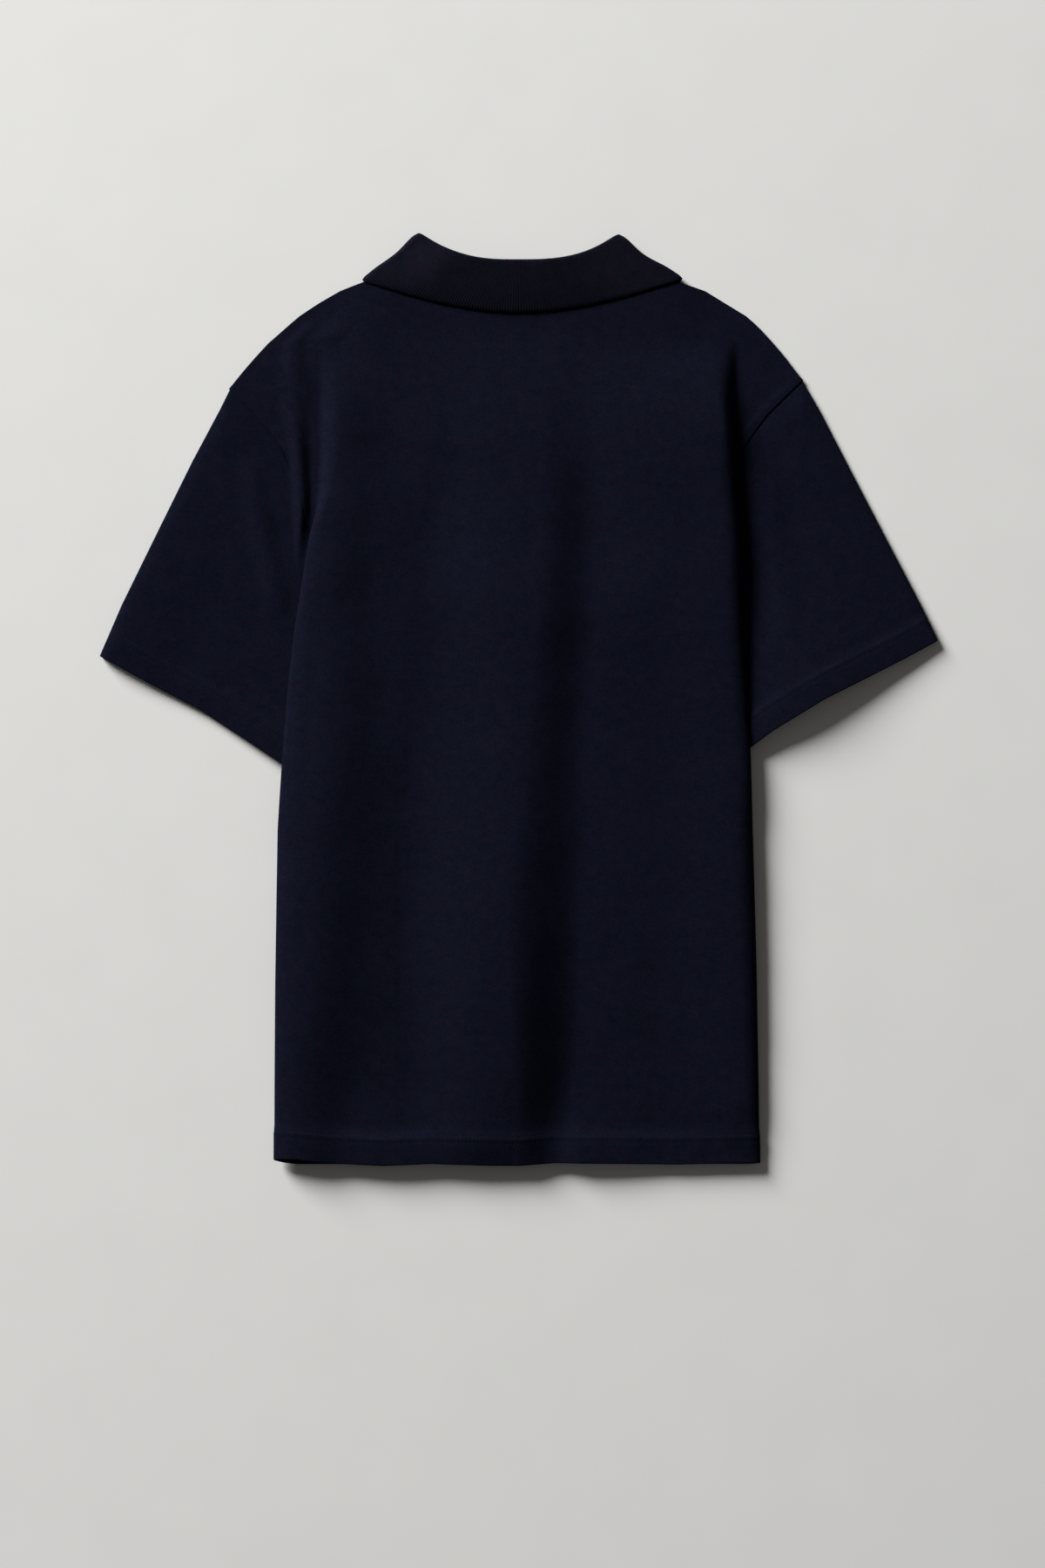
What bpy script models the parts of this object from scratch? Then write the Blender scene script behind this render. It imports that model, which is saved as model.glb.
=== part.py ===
"""A polo shirt laid flat with its back up, both sides of the body folded under.

Run with: blender --background --python part.py

Lengths are millimetres until a mesh is made. The floor is z = 0, +Y runs from
the hem to the neck, and -X is the wearer's left. Back and front panel share one
middle surface and lie 0.2 mm to each side of it, so that they follow each other
through every fold.
"""

import math

import bmesh
import bpy
import numpy as np

MM = 0.001

# Cloth
CLOTH = 1.2
HEM_CLOTH = 1.8
LAYER_GAP = 0.4
SEAM_GAP = 0.3
REST = CLOTH + LAYER_GAP / 2

# Body
HEM_Y = -372.0
HEM_DEPTH = 21.5
HEM_STEP = 2.5
HEM_SHIFT_FADE = 100.0
SHOULDER_ROW = 285.0
SHOULDER_FADE = 30.0
NECK_HALF_WIDTH = 84.0
NECK_POINT_Y = 354.0
BACK_NECK_DROP = 27.0
FRONT_NECK_DROP = 89.8

# Side folds: the roll at the visible edge, and the turn that brings the cloth out again
ROLL_LENGTH = 13.2
TURN_LENGTH = 6.9
UNDER_SLEEVE = 2 * TURN_LENGTH / math.pi
LEAST_FLAP = 0.5
LEAST_OUT = 2.0
CREST_WIDTH = 24.0
SPAN_STEPS = 5
OUTER_STEPS = 2
ROLL_STEPS = 4
TURN_STEPS = 3
STACK_ROWS = (187.0, 215.0)
TURNED_BACK = 0.5
TURNED_REACH = 6.6
SEAM_REACH = 1.0
PIVOT_ROOM = 4.0
CREASE_START = (1.0, 12.0)

# Ramp of the top layers from the middle of the shirt up onto the folded side
RAMP = 16.0
RAMP_ROOM = 3.0
CREST_ROOM = 16.0

# Collar
COLLAR_CLOTH = 1.4
RIB_HEIGHT = 0.25
# Part of half the collar, its number of ribs, and how many half ribs one plain face spans
COLLAR_PARTS = (("back", 57, 6), ("crease", 5, 2), ("front", 52, 8))
COLLAR_LIFT = 3.5
COLLAR_LIFT_ROWS = (190.0, 228.0)
COLLAR_LIFT_COLUMNS = (132.0, 162.0)
COLLAR_CLEARANCE = 0.1
COLLAR_EDGE_DROP = 0.75
FOLD_RADIUS = 1.3
FOLD_ANGLES = (45, 90, 135)
FOLD_CURVE = 2.2
EDGE_CURVE = 2.1
TURN_CURVE = 6
SEAM_TURN = (1.0, 0.15)
HORN_TURN = (0.8, 0.6)
FRONT_FOLD_PULL = (62.0, 302.0)
FRONT_EDGE_PULL = (100.0, 281.0)
COLLAR_POINT = (60.0, 232.0)
COLLAR_FRONT_FOLD = (9.0, 283.0)
COLLAR_FRONT_SEAM_X = 7.0

# Placket and buttons, under the shirt
PLACKET_WIDTH = 33.0
PLACKET_ROWS = (112.0, 262.0)
PLACKET_RAMP = (58.0, 96.0)
PLACKET_END = (266.0, 296.0)
PLACKET_COLUMNS = (18.5, 42.0)
PLACKET_CLOTH = 1.0
STRIP_COLUMNS = 5
STRIP_ROWS = 9
BUTTON_RADIUS = 5.5
BUTTON_THICKNESS = 1.8
BUTTON_SEGMENTS = 20
BUTTON_BEVEL = 0.4
BUTTON_ROWS = (244.0, 192.0, 140.0)
PLACKET_LIFT = BUTTON_THICKNESS + 2 * PLACKET_CLOTH + 3 * SEAM_GAP

# Sleeves
SLEEVE_HEM = 19.6
SLEEVE_ROWS = (0.0, 0.14, 0.28, 0.43, 0.58, 0.72, 0.86, 1.0)
HEM_EASE = 0.02

# Open mouth of a sleeve: lift of its upper layer at the cuff, and where across the cuff it is
SLEEVE_MOUTH = {
    "left": {"lift": 0.0, "middle": 0.45, "spread": 0.34},
    "right": {"lift": 8.0, "middle": 0.45, "spread": 0.34},
}
MOUTH_START = 0.25

NAVY = (0.006, 0.007, 0.014)
COLLAR_NAVY = (0.007, 0.007, 0.011)
BUTTON_NAVY = (0.010, 0.011, 0.018)


class Table:
    """Rows of numbers under named columns; the first column is the one looked up."""

    def __init__(self, columns, *rows):
        self.columns = columns.split()
        self.rows = np.array(rows, float)

    def at(self, value, name):
        return float(np.interp(value, self.rows[:, 0], self.column(name)))

    def column(self, name):
        return self.rows[:, self.columns.index(name)]


# Visible edge of the body and how far the cloth turns there, in degrees
SIDE_FOLD = {
    "left": Table(
        "y edge turn",
        (-372, 196.2, 180),
        (-314, 196.0, 180),
        (-230, 195.3, 180),
        (-104, 193.2, 180),
        (-51, 189.7, 180),
        (16, 184.4, 180),
        (57, 179.5, 180),
        (94, 173.6, 180),
        (114, 170.6, 180),
        (132, 168.4, 150),
        (150, 166.4, 108),
        (170, 165.2, 78),
        (200, 164.8, 58),
        (240, 164.8, 42),
        (270, 164.8, 22),
        (285, 164.8, 12),
    ),
    "right": Table(
        "y edge turn",
        (-372, 193.2, 180),
        (-286, 191.8, 180),
        (-209, 190.4, 180),
        (-41, 185.6, 180),
        (52, 179.2, 180),
        (125, 176.8, 180),
        (174, 172.4, 180),
        (204, 171.0, 145),
        (230, 169.5, 98),
        (250, 168.4, 62),
        (270, 168.0, 34),
        (285, 168.4, 14),
    ),
}

# Where a body panel ends (side seam, armhole, shoulder) and where its flap ends
PANEL_END = {
    "left": Table(
        "y seam flap_end turn_back",
        (-372, 112, 119.4, 0),
        (58, 112, 119.4, 0),
        (62, 112, 118.0, 60),
        (67, 113, 116.0, 120),
        (72, 117.5, 114.5, 180),
        (80, 126, 123, 180),
        (100, 146, 143, 180),
        (120, 161, 158, 180),
        (140, 171, 168, 180),
        (165, 176, 173, 180),
        (180, 181, 178, 180),
        (204, 192, 189, 180),
        (222, 207, 204, 180),
        (236, 220, 217, 180),
        (248.5, 233.1, 230, 180),
        (264, 220.5, 217, 180),
        (274.4, 211.4, 208, 180),
        (285, 201.6, 198, 180),
        (295.4, 189.7, 186, 180),
        (306, 177.8, 174, 180),
        (316.4, 162.4, 160, 180),
        (327, 143.5, 141, 180),
        (332, 130.5, 128, 180),
        (336, 119, 117, 180),
        (345, 102, 99, 180),
        (354, 84, 81, 180),
    ),
    "right": Table(
        "y seam flap_end turn_back",
        (-372, 112, 119.4, 0),
        (58, 112, 119.4, 0),
        (62, 112, 118.0, 60),
        (67, 113, 116.0, 120),
        (72, 117.5, 114.5, 180),
        (80, 124, 121, 180),
        (100, 139, 136, 180),
        (120, 149, 146, 180),
        (150, 160, 157, 180),
        (180, 171, 168, 180),
        (204, 182.7, 180, 180),
        (216.6, 191, 188, 180),
        (229, 201, 198, 180),
        (243, 215.6, 212, 180),
        (255.5, 228.2, 225, 180),
        (264, 221.2, 218, 180),
        (274.4, 213.5, 210, 180),
        (285, 204.4, 201, 180),
        (295.4, 195, 192, 180),
        (306, 184, 181, 180),
        (316.4, 167, 164, 180),
        (327, 149.5, 147, 180),
        (332, 134.5, 132, 180),
        (336, 123, 120, 180),
        (345, 104, 101, 180),
        (354, 84, 81, 180),
    ),
}

# How far the flap lies above the floor, where it passes over the sleeve
FLAP_LIFT = Table("y lift", (-100, 0), (-72, UNDER_SLEEVE))

# Hem line of the top layers across the body, from HEM_Y
HEM_LINE = Table(
    "x shift",
    (-196, 5.5),
    (-176, 2.4),
    (-160, 0.3),
    (-142, -0.9),
    (-109, -2.5),
    (-70, -0.8),
    (-24, -2.2),
    (0, -2.4),
    (30, -0.4),
    (70, -0.8),
    (124, -1.6),
    (193, -0.2),
)
FLAP_HEM_SHIFT = -1.5

# Long soft ridge up the middle of the shirt, and how far it reaches to both sides
RIDGE = Table(
    "y x height left right",
    (-372, -15, 5.0, 96, 60),
    (-300, -14, 10.5, 98, 60),
    (-209, -7, 11.5, 106, 60),
    (-97, -3, 10.0, 104, 54),
    (-12, 5, 7.5, 96, 48),
    (60, 12, 2.6, 92, 46),
    (104, 15, 0, 92, 46),
)

# Short folds beside the rolls, from one point to the next
CREASES = (
    {"start": (-182, 275), "end": (-181, 198), "height": 2.2, "width": 11},
    {"start": (-212, 172), "end": (-194, 62), "height": 2.0, "width": 14},
    {"start": (-322, 62), "end": (-250, 30), "height": 1.6, "width": 30},
    {"start": (196, 178), "end": (214, 60), "height": 1.8, "width": 20},
    {"start": (318, 74), "end": (246, 32), "height": 1.6, "width": 30},
)

BODY_ROWS = (
    HEM_Y, HEM_Y + HEM_DEPTH, HEM_Y + HEM_DEPTH + HEM_STEP, -290, -195, -100, -72,
    -30, 20, 58, 62, 67, 72, 80, 96, 114, 132, 150, 170, 187, 204, 222, 236, 248.5, 255.5,
)
BACK_NECK_ROWS = (264, 275, 285, 298, 313, 327, 327.9, 329.7, 332.3, 335.8, 340.1, 344.8, 350)
FRONT_NECK_ROWS = (264, 265.6, 269, 275, 285, 298, 313, 327, 332.3, 340.1, 350)

# Sleeve outline past the body; each row is a point from the shoulder to the cuff
SLEEVE_OUTER_EDGE = {
    "left": Table(
        "x y", (233.1, 248.5), (240.1, 232.4), (262.5, 190.4), (288.4, 137.9), (319.2, 74.9), (336.7, 35.0)
    ),
    "right": Table(
        "x y", (228.2, 255.5), (240.8, 232.4), (262.5, 190.4), (289.8, 137.9), (322.7, 74.9), (337.4, 45.5)
    ),
}
SLEEVE_CUFF = {
    "left": Table(
        "x y", (336.7, 34.0), (296.8, 11.9), (256.2, -9.1), (224.0, -30.1), (192.5, -51.1), (176.5, -60.5)
    ),
    "right": Table(
        "x y", (336.4, 46.5), (312.9, 33.6), (278.6, 16.1), (245.0, -0.7), (203.7, -25.9), (172.3, -49.5)
    ),
}
UNDERARM_ROW = 74.0

# Collar corners: where its fold turns to the front, and where its edge does
COLLAR_CORNERS = {
    "left": {"horn": (82.0, 373.6), "corner": (126.3, 335.9)},
    "right": {"horn": (81.4, 372.8), "corner": (129.2, 337.2)},
}
COLLAR_FOLD_LOW = 350.8
COLLAR_EDGE_LOW = 310.0

SIGN = {"left": -1.0, "right": 1.0}


def smoothstep(value, low, high):
    part = min(max((value - low) / (high - low), 0.0), 1.0)
    return part * part * (3 - 2 * part)


def hump(distance, width):
    """1 at the middle and 0 from one width away."""
    return math.cos(math.pi / 2 * min(abs(distance) / width, 1.0)) ** 2


def cloth_at(y):
    """Thickness of a body layer: double in the hem."""
    low = HEM_Y + HEM_DEPTH
    return HEM_CLOTH + (CLOTH - HEM_CLOTH) * min(max((y - low) / HEM_STEP, 0.0), 1.0)


def ridge_height(x, y):
    middle = RIDGE.at(y, "x")
    width = RIDGE.at(y, "left" if x < middle else "right")
    return RIDGE.at(y, "height") * hump(x - middle, width)


def crease_height(x, y):
    """Lift of the cloth beside the rolls, none under them."""
    total = 0.0
    for crease in CREASES:
        start, end = np.array(crease["start"], float), np.array(crease["end"], float)
        run = end - start
        part = float(np.dot((x, y) - start, run) / np.dot(run, run))
        near = start + run * min(max(part, 0.0), 1.0)
        total += crease["height"] * hump(math.hypot(x - near[0], y - near[1]), crease["width"])
    side = "left" if x < 0 else "right"
    edge = SIDE_FOLD[side].at(y, "edge")
    return total * smoothstep(abs(x), *(edge + room for room in CREASE_START))


def neck_lift(x, y):
    """Room under the panels for the front half of the collar and for the placket."""
    collar = COLLAR_LIFT * smoothstep(y, *COLLAR_LIFT_ROWS) * (1 - smoothstep(abs(x), *COLLAR_LIFT_COLUMNS))
    sides = 1 - smoothstep(abs(x), *PLACKET_COLUMNS)
    ends = smoothstep(y, *PLACKET_RAMP) * (1 - smoothstep(y, *PLACKET_END))
    return max(collar, PLACKET_LIFT * sides * ends)


class Section:
    """One half of a row: the middle of the two layers, from the centre line out."""

    def __init__(self, side, y):
        self.side, self.y = side, y
        fold, end = SIDE_FOLD[side], PANEL_END[side]
        self.cloth = cloth_at(y)
        self.floor = self.cloth + LAYER_GAP / 2
        self.turn = math.radians(fold.at(y, "turn"))
        self.turn_back = min(math.radians(end.at(y, "turn_back")), self.turn)
        self.edge = fold.at(y, "edge")
        self.seam = end.at(y, "seam")
        self.roll_radius = ROLL_LENGTH / self.turn
        self.crest_x = self.edge - REST - min(self.roll_radius, ROLL_LENGTH / (math.pi / 2))
        self.flap = max(LEAST_FLAP, self.crest_x - end.at(y, "flap_end"))
        self.lift = FLAP_LIFT.at(y, "lift")
        rise = self.lift / 2 * (1 - math.cos(self.turn)) * math.pi / self.turn
        self.crest = (
            self.floor + rise + self.flap * math.sin(self.turn) + self.roll_radius * (1 - math.cos(self.turn))
        )
        self.over_flap = self.floor + self.lift + 2 * self.cloth + LAYER_GAP + SEAM_GAP
        inward = self.seam - (TURNED_REACH if self.turn_back > TURNED_BACK else SEAM_REACH)
        self.ramp_end = min(inward - RAMP_ROOM, self.crest_x - CREST_ROOM)

    def span_height(self, distance):
        """Height of the middle surface on top of the shirt, at a distance from the centre line."""
        x = SIGN[self.side] * distance
        low = self.floor + neck_lift(x, self.y)
        stacked = 1 - smoothstep(self.y, *STACK_ROWS)
        ramp = smoothstep(distance, self.ramp_end - RAMP, self.ramp_end)
        base = low + max(self.over_flap - low, 0.0) * ramp * stacked
        gap = self.crest_x - distance
        crest = (self.crest - base) * math.exp(-((gap / CREST_WIDTH) ** 2))
        return base + max(crest, 0.0) + ridge_height(x, self.y)

    def span_distances(self, start):
        ramp_start = self.ramp_end - RAMP
        first, second = PLACKET_COLUMNS
        inner = np.array((0.0, first, *np.linspace(second, ramp_start, SPAN_STEPS - 1)))
        inner = start + inner * (ramp_start - start) / ramp_start
        outer = np.linspace(self.ramp_end, self.crest_x, OUTER_STEPS + 1)
        return np.concatenate((inner, outer))

    def points(self, start=0.0):
        """(distance, height) pairs from start to the seam."""
        found = [(d, self.span_height(d)) for d in self.span_distances(start)]
        distance, height = found[-1]
        for step in range(1, ROLL_STEPS + 1):
            angle = self.turn * step / ROLL_STEPS
            found.append(
                (
                    distance + self.roll_radius * math.sin(angle),
                    height - self.roll_radius * (1 - math.cos(angle)),
                )
            )
        distance = found[-1][0] + self.flap * math.cos(self.turn)
        height = found[-1][1] - self.flap * math.sin(self.turn)
        found.append((distance, height))
        back = max(self.turn_back, 0.01)
        radius = TURN_LENGTH / back
        if self.turn > math.pi - 0.01 and self.lift > 0:
            radius = min(radius, self.lift / (1 - math.cos(back)))
        for step in range(1, TURN_STEPS + 1):
            angle = self.turn - back * step / TURN_STEPS
            found.append(
                (
                    distance + radius * (math.sin(self.turn) - math.sin(angle)),
                    height - radius * (math.cos(angle) - math.cos(self.turn)),
                )
            )
        distance, height = found[-1]
        if self.turn - self.turn_back < 0.01:
            end = max(self.seam, distance + LEAST_OUT)
            lift = crease_height(SIGN[self.side] * end, self.y)
            found.append((end, height + lift))
        else:
            heading = self.turn - back
            found.append((distance + LEAST_FLAP * math.cos(heading), height - LEAST_FLAP * math.sin(heading)))
        return np.array(found)


def shoulder_points(side, y, start):
    """A row above the side folds: the columns of the last folded row, drawn in to the shoulder."""
    last = Section(side, SHOULDER_ROW)
    folded = last.points()
    end = PANEL_END[side].at(y, "seam")
    share = folded[:, 0] / folded[-1, 0]
    lifts = [neck_lift(SIGN[side] * distance, SHOULDER_ROW) for distance in folded[:, 0]]
    extra = folded[:, 1] - last.floor - lifts
    fade = max(0.0, 1 - (y - SHOULDER_ROW) / SHOULDER_FADE)
    middle = share[SPAN_STEPS]
    pivot = middle * end
    if pivot < start + PIVOT_ROOM:
        pivot = start + middle * (end - start)
    inner = start + share / middle * (pivot - start)
    outer = pivot + (share - middle) / (1 - middle) * (end - pivot)
    found = []
    for distance in np.where(share < middle, inner, outer):
        low = REST + neck_lift(SIGN[side] * distance, y)
        found.append((distance, low + fade * np.interp(distance / end, share, extra)))
    return np.array(found)


def row_points(side, y, start):
    if y <= SHOULDER_ROW:
        return Section(side, y).points(start)
    return shoulder_points(side, y, start)


def seam_distance(side, y):
    """Where the body panels end at y, from the centre line."""
    return row_points(side, y, 0.0)[-1, 0]


def normals_of(points):
    """Unit normals of a polyline, to the left of its run from the centre out."""
    run = np.gradient(points, axis=0)
    run[0], run[-1] = points[1] - points[0], points[-1] - points[-2]
    steps = np.diff(points, axis=0)
    steps /= np.linalg.norm(steps, axis=1)[:, None]
    run[1:-1] = steps[:-1] + steps[1:]
    run /= np.linalg.norm(run, axis=1)[:, None]
    return np.stack((-run[:, 1], run[:, 0]), axis=1)


class Shell:
    """A wall between matching outer and inner points, closed along its free edges."""

    def __init__(self):
        self.outer, self.inner, self.quads, self.known = [], [], [], {}

    def point(self, outer, inner):
        key = tuple(np.round(np.concatenate((outer, inner)), 4))
        if key not in self.known:
            self.known[key] = len(self.outer)
            self.outer.append(outer)
            self.inner.append(inner)
        return self.known[key]

    def grid(self, outer, inner, wrap=False):
        """Adds the quads of two matching grids of points."""
        index = [[self.point(a, b) for a, b in zip(*rows)] for rows in zip(outer, inner)]
        for low, high in zip(index, index[1:]):
            columns = range(len(low) if wrap else len(low) - 1)
            for j in columns:
                k = (j + 1) % len(low)
                self.quads.append((low[j], low[k], high[k], high[j]))

    def faces(self):
        count = len(self.outer)
        faces = list(self.quads)
        faces += [tuple(i + count for i in reversed(quad)) for quad in self.quads]
        uses = {}
        for quad in self.quads:
            for a, b in zip(quad, quad[1:] + quad[:1]):
                uses.setdefault(frozenset((a, b)), []).append((a, b))
        for edges in uses.values():
            if len(edges) == 1:
                a, b = edges[0]
                faces.append((b, a, a + count, b + count))
        return faces

    def make(self, name, material):
        return make_object(name, self.outer + self.inner, self.faces(), material)


def make_object(name, points, faces, material):
    mesh = bpy.data.meshes.new(name)
    mesh.from_pydata([tuple(np.array(p) * MM) for p in points], [], faces)
    shaped = bmesh.new()
    shaped.from_mesh(mesh)
    bmesh.ops.recalc_face_normals(shaped, faces=shaped.faces)
    shaped.to_mesh(mesh)
    shaped.free()
    mesh.shade_smooth()
    mesh.materials.append(material)
    made = bpy.data.objects.new(name, mesh)
    bpy.data.collections["polo_shirt"].objects.link(made)
    return made


def make_material(name, color, roughness):
    material = bpy.data.materials.new(name)
    material.use_nodes = True
    shader = material.node_tree.nodes["Principled BSDF"]
    shader.inputs["Base Color"].default_value = (*color, 1.0)
    shader.inputs["Roughness"].default_value = roughness
    shader.inputs["Metallic"].default_value = 0.0
    return material


def hem_shift(side, y, points):
    """How far each point of a low row moves along Y, so that the hem keeps its line."""
    weight = 1 - smoothstep(y, HEM_Y + HEM_DEPTH, HEM_Y + HEM_DEPTH + HEM_SHIFT_FADE)
    count = SPAN_STEPS + OUTER_STEPS + 2
    shifts = []
    for index, (distance, _) in enumerate(points):
        shift = HEM_LINE.at(SIGN[side] * distance, "shift")
        if index >= count:
            under = min((index - count + 1) / ROLL_STEPS, 1.0)
            shift += (FLAP_HEM_SHIFT - shift) * under
        shifts.append(shift * weight)
    return shifts


def neck_start(y, drop):
    """Distance of a panel's neck edge from the centre line at y."""
    part = (NECK_POINT_Y - y) / drop
    return NECK_HALF_WIDTH * math.sqrt(max(0.0, 1 - part * part))


def build_panel(name, above, rows, drop, material):
    """A body panel, on the outside (above = 1) or the inside (-1) of the middle surface."""
    shell = Shell()
    for side in ("left", "right"):
        outer, inner = [], []
        for y in rows:
            start = neck_start(y, drop) if y > NECK_POINT_Y - drop else 0.0
            points = row_points(side, y, start)
            normals = normals_of(points)
            shifts = hem_shift(side, y, points)
            near, far = LAYER_GAP / 2, LAYER_GAP / 2 + cloth_at(y)
            for grid, offset in ((outer, far), (inner, near)):
                moved = points + normals * offset * above
                if start == 0.0:
                    moved[0] = points[0] + np.array((0.0, offset * above))
                moved[:, 1] = np.maximum(moved[:, 1], 0.0)
                grid.append(
                    [np.array((SIGN[side] * d, y + s, z)) for (d, z), s in zip(moved, shifts)]
                )
        shell.grid(outer, inner)
    return shell.make(name, material)


def polyline_at(points, share):
    """Point at a share of a polyline's length."""
    points = np.asarray(points, float)
    lengths = np.concatenate(([0.0], np.cumsum(np.linalg.norm(np.diff(points, axis=0), axis=1))))
    at = share * lengths[-1]
    return np.array([np.interp(at, lengths, points[:, k]) for k in range(points.shape[1])])


class SleevePlan:
    """Flat outline of a sleeve as a patch: a runs from armhole to cuff, b from top edge to underarm."""

    def __init__(self, side):
        self.side = side
        self.edge = SLEEVE_OUTER_EDGE[side].rows.copy()
        self.cuff = SLEEVE_CUFF[side].rows.copy()
        notch_y = self.edge[0, 1]
        rows = [y for y in BODY_ROWS if UNDERARM_ROW < y < notch_y]
        rows = [notch_y, *reversed(rows), UNDERARM_ROW]
        self.armhole = np.array([(seam_distance(side, y) + SEAM_GAP, y) for y in rows])
        steps = np.linalg.norm(np.diff(self.armhole, axis=0), axis=1)
        self.shares = np.concatenate(([0.0], np.cumsum(steps) / steps.sum()))
        self.edge[0] = self.armhole[0]
        self.edge[-1] = self.cuff[0]
        self.underarm = np.array([self.armhole[-1], self.cuff[-1]])

    def at(self, a, b):
        arm, cuff = polyline_at(self.armhole, b), polyline_at(self.cuff, b)
        top, under = polyline_at(self.edge, a), polyline_at(self.underarm, a)
        corners = (
            (1 - a) * (1 - b) * self.armhole[0]
            + (1 - a) * b * self.armhole[-1]
            + a * (1 - b) * self.cuff[0]
            + a * b * self.cuff[-1]
        )
        return (1 - a) * arm + a * cuff + (1 - b) * top + b * under - corners

    def hem_share(self, b):
        """Share of the sleeve's length at b that its hem takes."""
        return SLEEVE_HEM / np.linalg.norm(self.at(1, b) - self.at(0, b))


def mouth_lift(side, a, b):
    """How far the upper layer stands up near the cuff."""
    mouth = SLEEVE_MOUTH[side]
    return mouth["lift"] * smoothstep(a, MOUTH_START, 1.0) * hump(b - mouth["middle"], mouth["spread"])


def sleeve_ring(plan, row, cloth, offset):
    """Closed loop of points round a sleeve: over the top, then back along the underside."""
    middle, lifts = [], []
    for b in plan.shares:
        x, y = plan.at(row(b), b)
        lifts.append(np.array((0.0, 0.0, mouth_lift(plan.side, row(b), b))))
        x *= SIGN[plan.side]
        middle.append(np.array((x, y, cloth + LAYER_GAP / 2 + crease_height(x, y))))
    inset = cloth + LAYER_GAP / 2
    ends = []
    for end, beside in ((middle[0], middle[1]), (middle[-1], middle[-2])):
        outward = (end - beside) / np.linalg.norm(end - beside)
        ends.append((end - outward * inset, outward))
    middle[0], middle[-1] = ends[0][0], ends[1][0]
    up = np.array((0.0, 0.0, offset))
    loop = [point + up + lift for point, lift in zip(middle, lifts)]
    loop.append(middle[-1] + ends[1][1] * offset)
    loop += [point - up for point in reversed(middle)]
    loop.append(middle[0] + ends[0][1] * offset)
    return loop


def build_sleeve(side, material):
    plan = SleevePlan(side)
    rows = [(lambda b, r=r: r * (1 - plan.hem_share(b) - HEM_EASE), CLOTH) for r in SLEEVE_ROWS]
    rows.append((lambda b: 1 - plan.hem_share(b), HEM_CLOTH))
    rows.append((lambda b: 1.0, HEM_CLOTH))
    shell = Shell()
    outer = [sleeve_ring(plan, row, cloth, cloth + LAYER_GAP / 2) for row, cloth in rows]
    inner = [sleeve_ring(plan, row, cloth, LAYER_GAP / 2) for row, cloth in rows]
    shell.grid(outer, inner, wrap=True)
    return shell.make("sleeve_" + side, material)


def bezier(start, pull, end, share):
    start, pull, end = (np.array(p, float) for p in (start, pull, end))
    return (1 - share) ** 2 * start + 2 * share * (1 - share) * pull + share**2 * end


class CollarLine:
    """One line along the collar, from the centre back round a side to its front end."""

    def __init__(self, back, front, outward, back_z, front_z, reach):
        self.back, self.front, self.outward = back, front, np.array(outward) / np.linalg.norm(outward)
        self.back_z, self.front_z, self.reach = back_z, front_z, reach
        self.radius = (back_z - front_z) / 2

    def crease(self, angle):
        """Point on the half circle that turns the line from the back to the front."""
        plan = self.back(1.0) - self.outward * (self.reach + self.radius * (1 - math.sin(angle)))
        return np.array((*plan, (self.back_z + self.front_z) / 2 + self.radius * math.cos(angle)))

    def at(self, part, share):
        if part == "crease":
            return self.crease(share * math.pi)
        turn = self.crease(0.0)[:2] - self.back(1.0)
        if part == "back":
            return np.array((*(self.back(share) + turn * share**TURN_CURVE), self.back_z))
        return np.array((*(self.front(share) + turn * (1 - share) ** TURN_CURVE), self.front_z))


def collar_lines(side):
    """The four lines that shape half the collar: seam, stand top, leaf top, leaf edge."""
    horn = np.array(COLLAR_CORNERS[side]["horn"])
    corner = np.array(COLLAR_CORNERS[side]["corner"])
    seam_x = NECK_HALF_WIDTH - 2 * SEAM_GAP
    wall = COLLAR_CLOTH / 2
    middle = REST + COLLAR_LIFT
    leaf_front = wall + RIB_HEIGHT
    stand_front = leaf_front + 2 * FOLD_RADIUS
    stand_back = middle + LAYER_GAP / 2 + wall + COLLAR_CLEARANCE
    seam_front_z = middle - LAYER_GAP / 2 - wall - COLLAR_CLEARANCE / 2
    leaf_back = stand_back + 2 * FOLD_RADIUS
    front_start = math.asin(COLLAR_FRONT_SEAM_X / seam_x)

    def seam_back(share):
        angle = share * math.pi / 2
        drop = BACK_NECK_DROP - SEAM_GAP
        return np.array((seam_x * math.sin(angle), NECK_POINT_Y + 0.2 - drop * math.cos(angle)))

    def seam_front(share):
        angle = math.pi / 2 + (front_start - math.pi / 2) * share
        drop = FRONT_NECK_DROP - SEAM_GAP
        return np.array((seam_x * math.sin(angle), NECK_POINT_Y + 0.2 - drop * math.cos(angle)))

    def fold_back(share):
        rise = (horn[1] - COLLAR_FOLD_LOW) * share**FOLD_CURVE
        return np.array((horn[0] * share, COLLAR_FOLD_LOW + rise))

    def fold_front(share):
        return bezier(horn, FRONT_FOLD_PULL, COLLAR_FRONT_FOLD, share)

    def edge_back(share):
        rise = (corner[1] - COLLAR_EDGE_LOW) * share**EDGE_CURVE
        return np.array((corner[0] * share, COLLAR_EDGE_LOW + rise))

    def edge_front(share):
        return bezier(corner, FRONT_EDGE_PULL, COLLAR_POINT, share)

    slope = np.array((corner[1] - horn[1], horn[0] - corner[0])) * -1.0
    return (
        CollarLine(seam_back, seam_front, SEAM_TURN, stand_back, seam_front_z, wall),
        CollarLine(fold_back, fold_front, HORN_TURN, stand_back, stand_front, wall + 2 * FOLD_RADIUS),
        CollarLine(fold_back, fold_front, HORN_TURN, leaf_back, leaf_front, wall),
        CollarLine(edge_back, edge_front, slope, leaf_back - COLLAR_EDGE_DROP, leaf_front, wall),
    )


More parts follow.
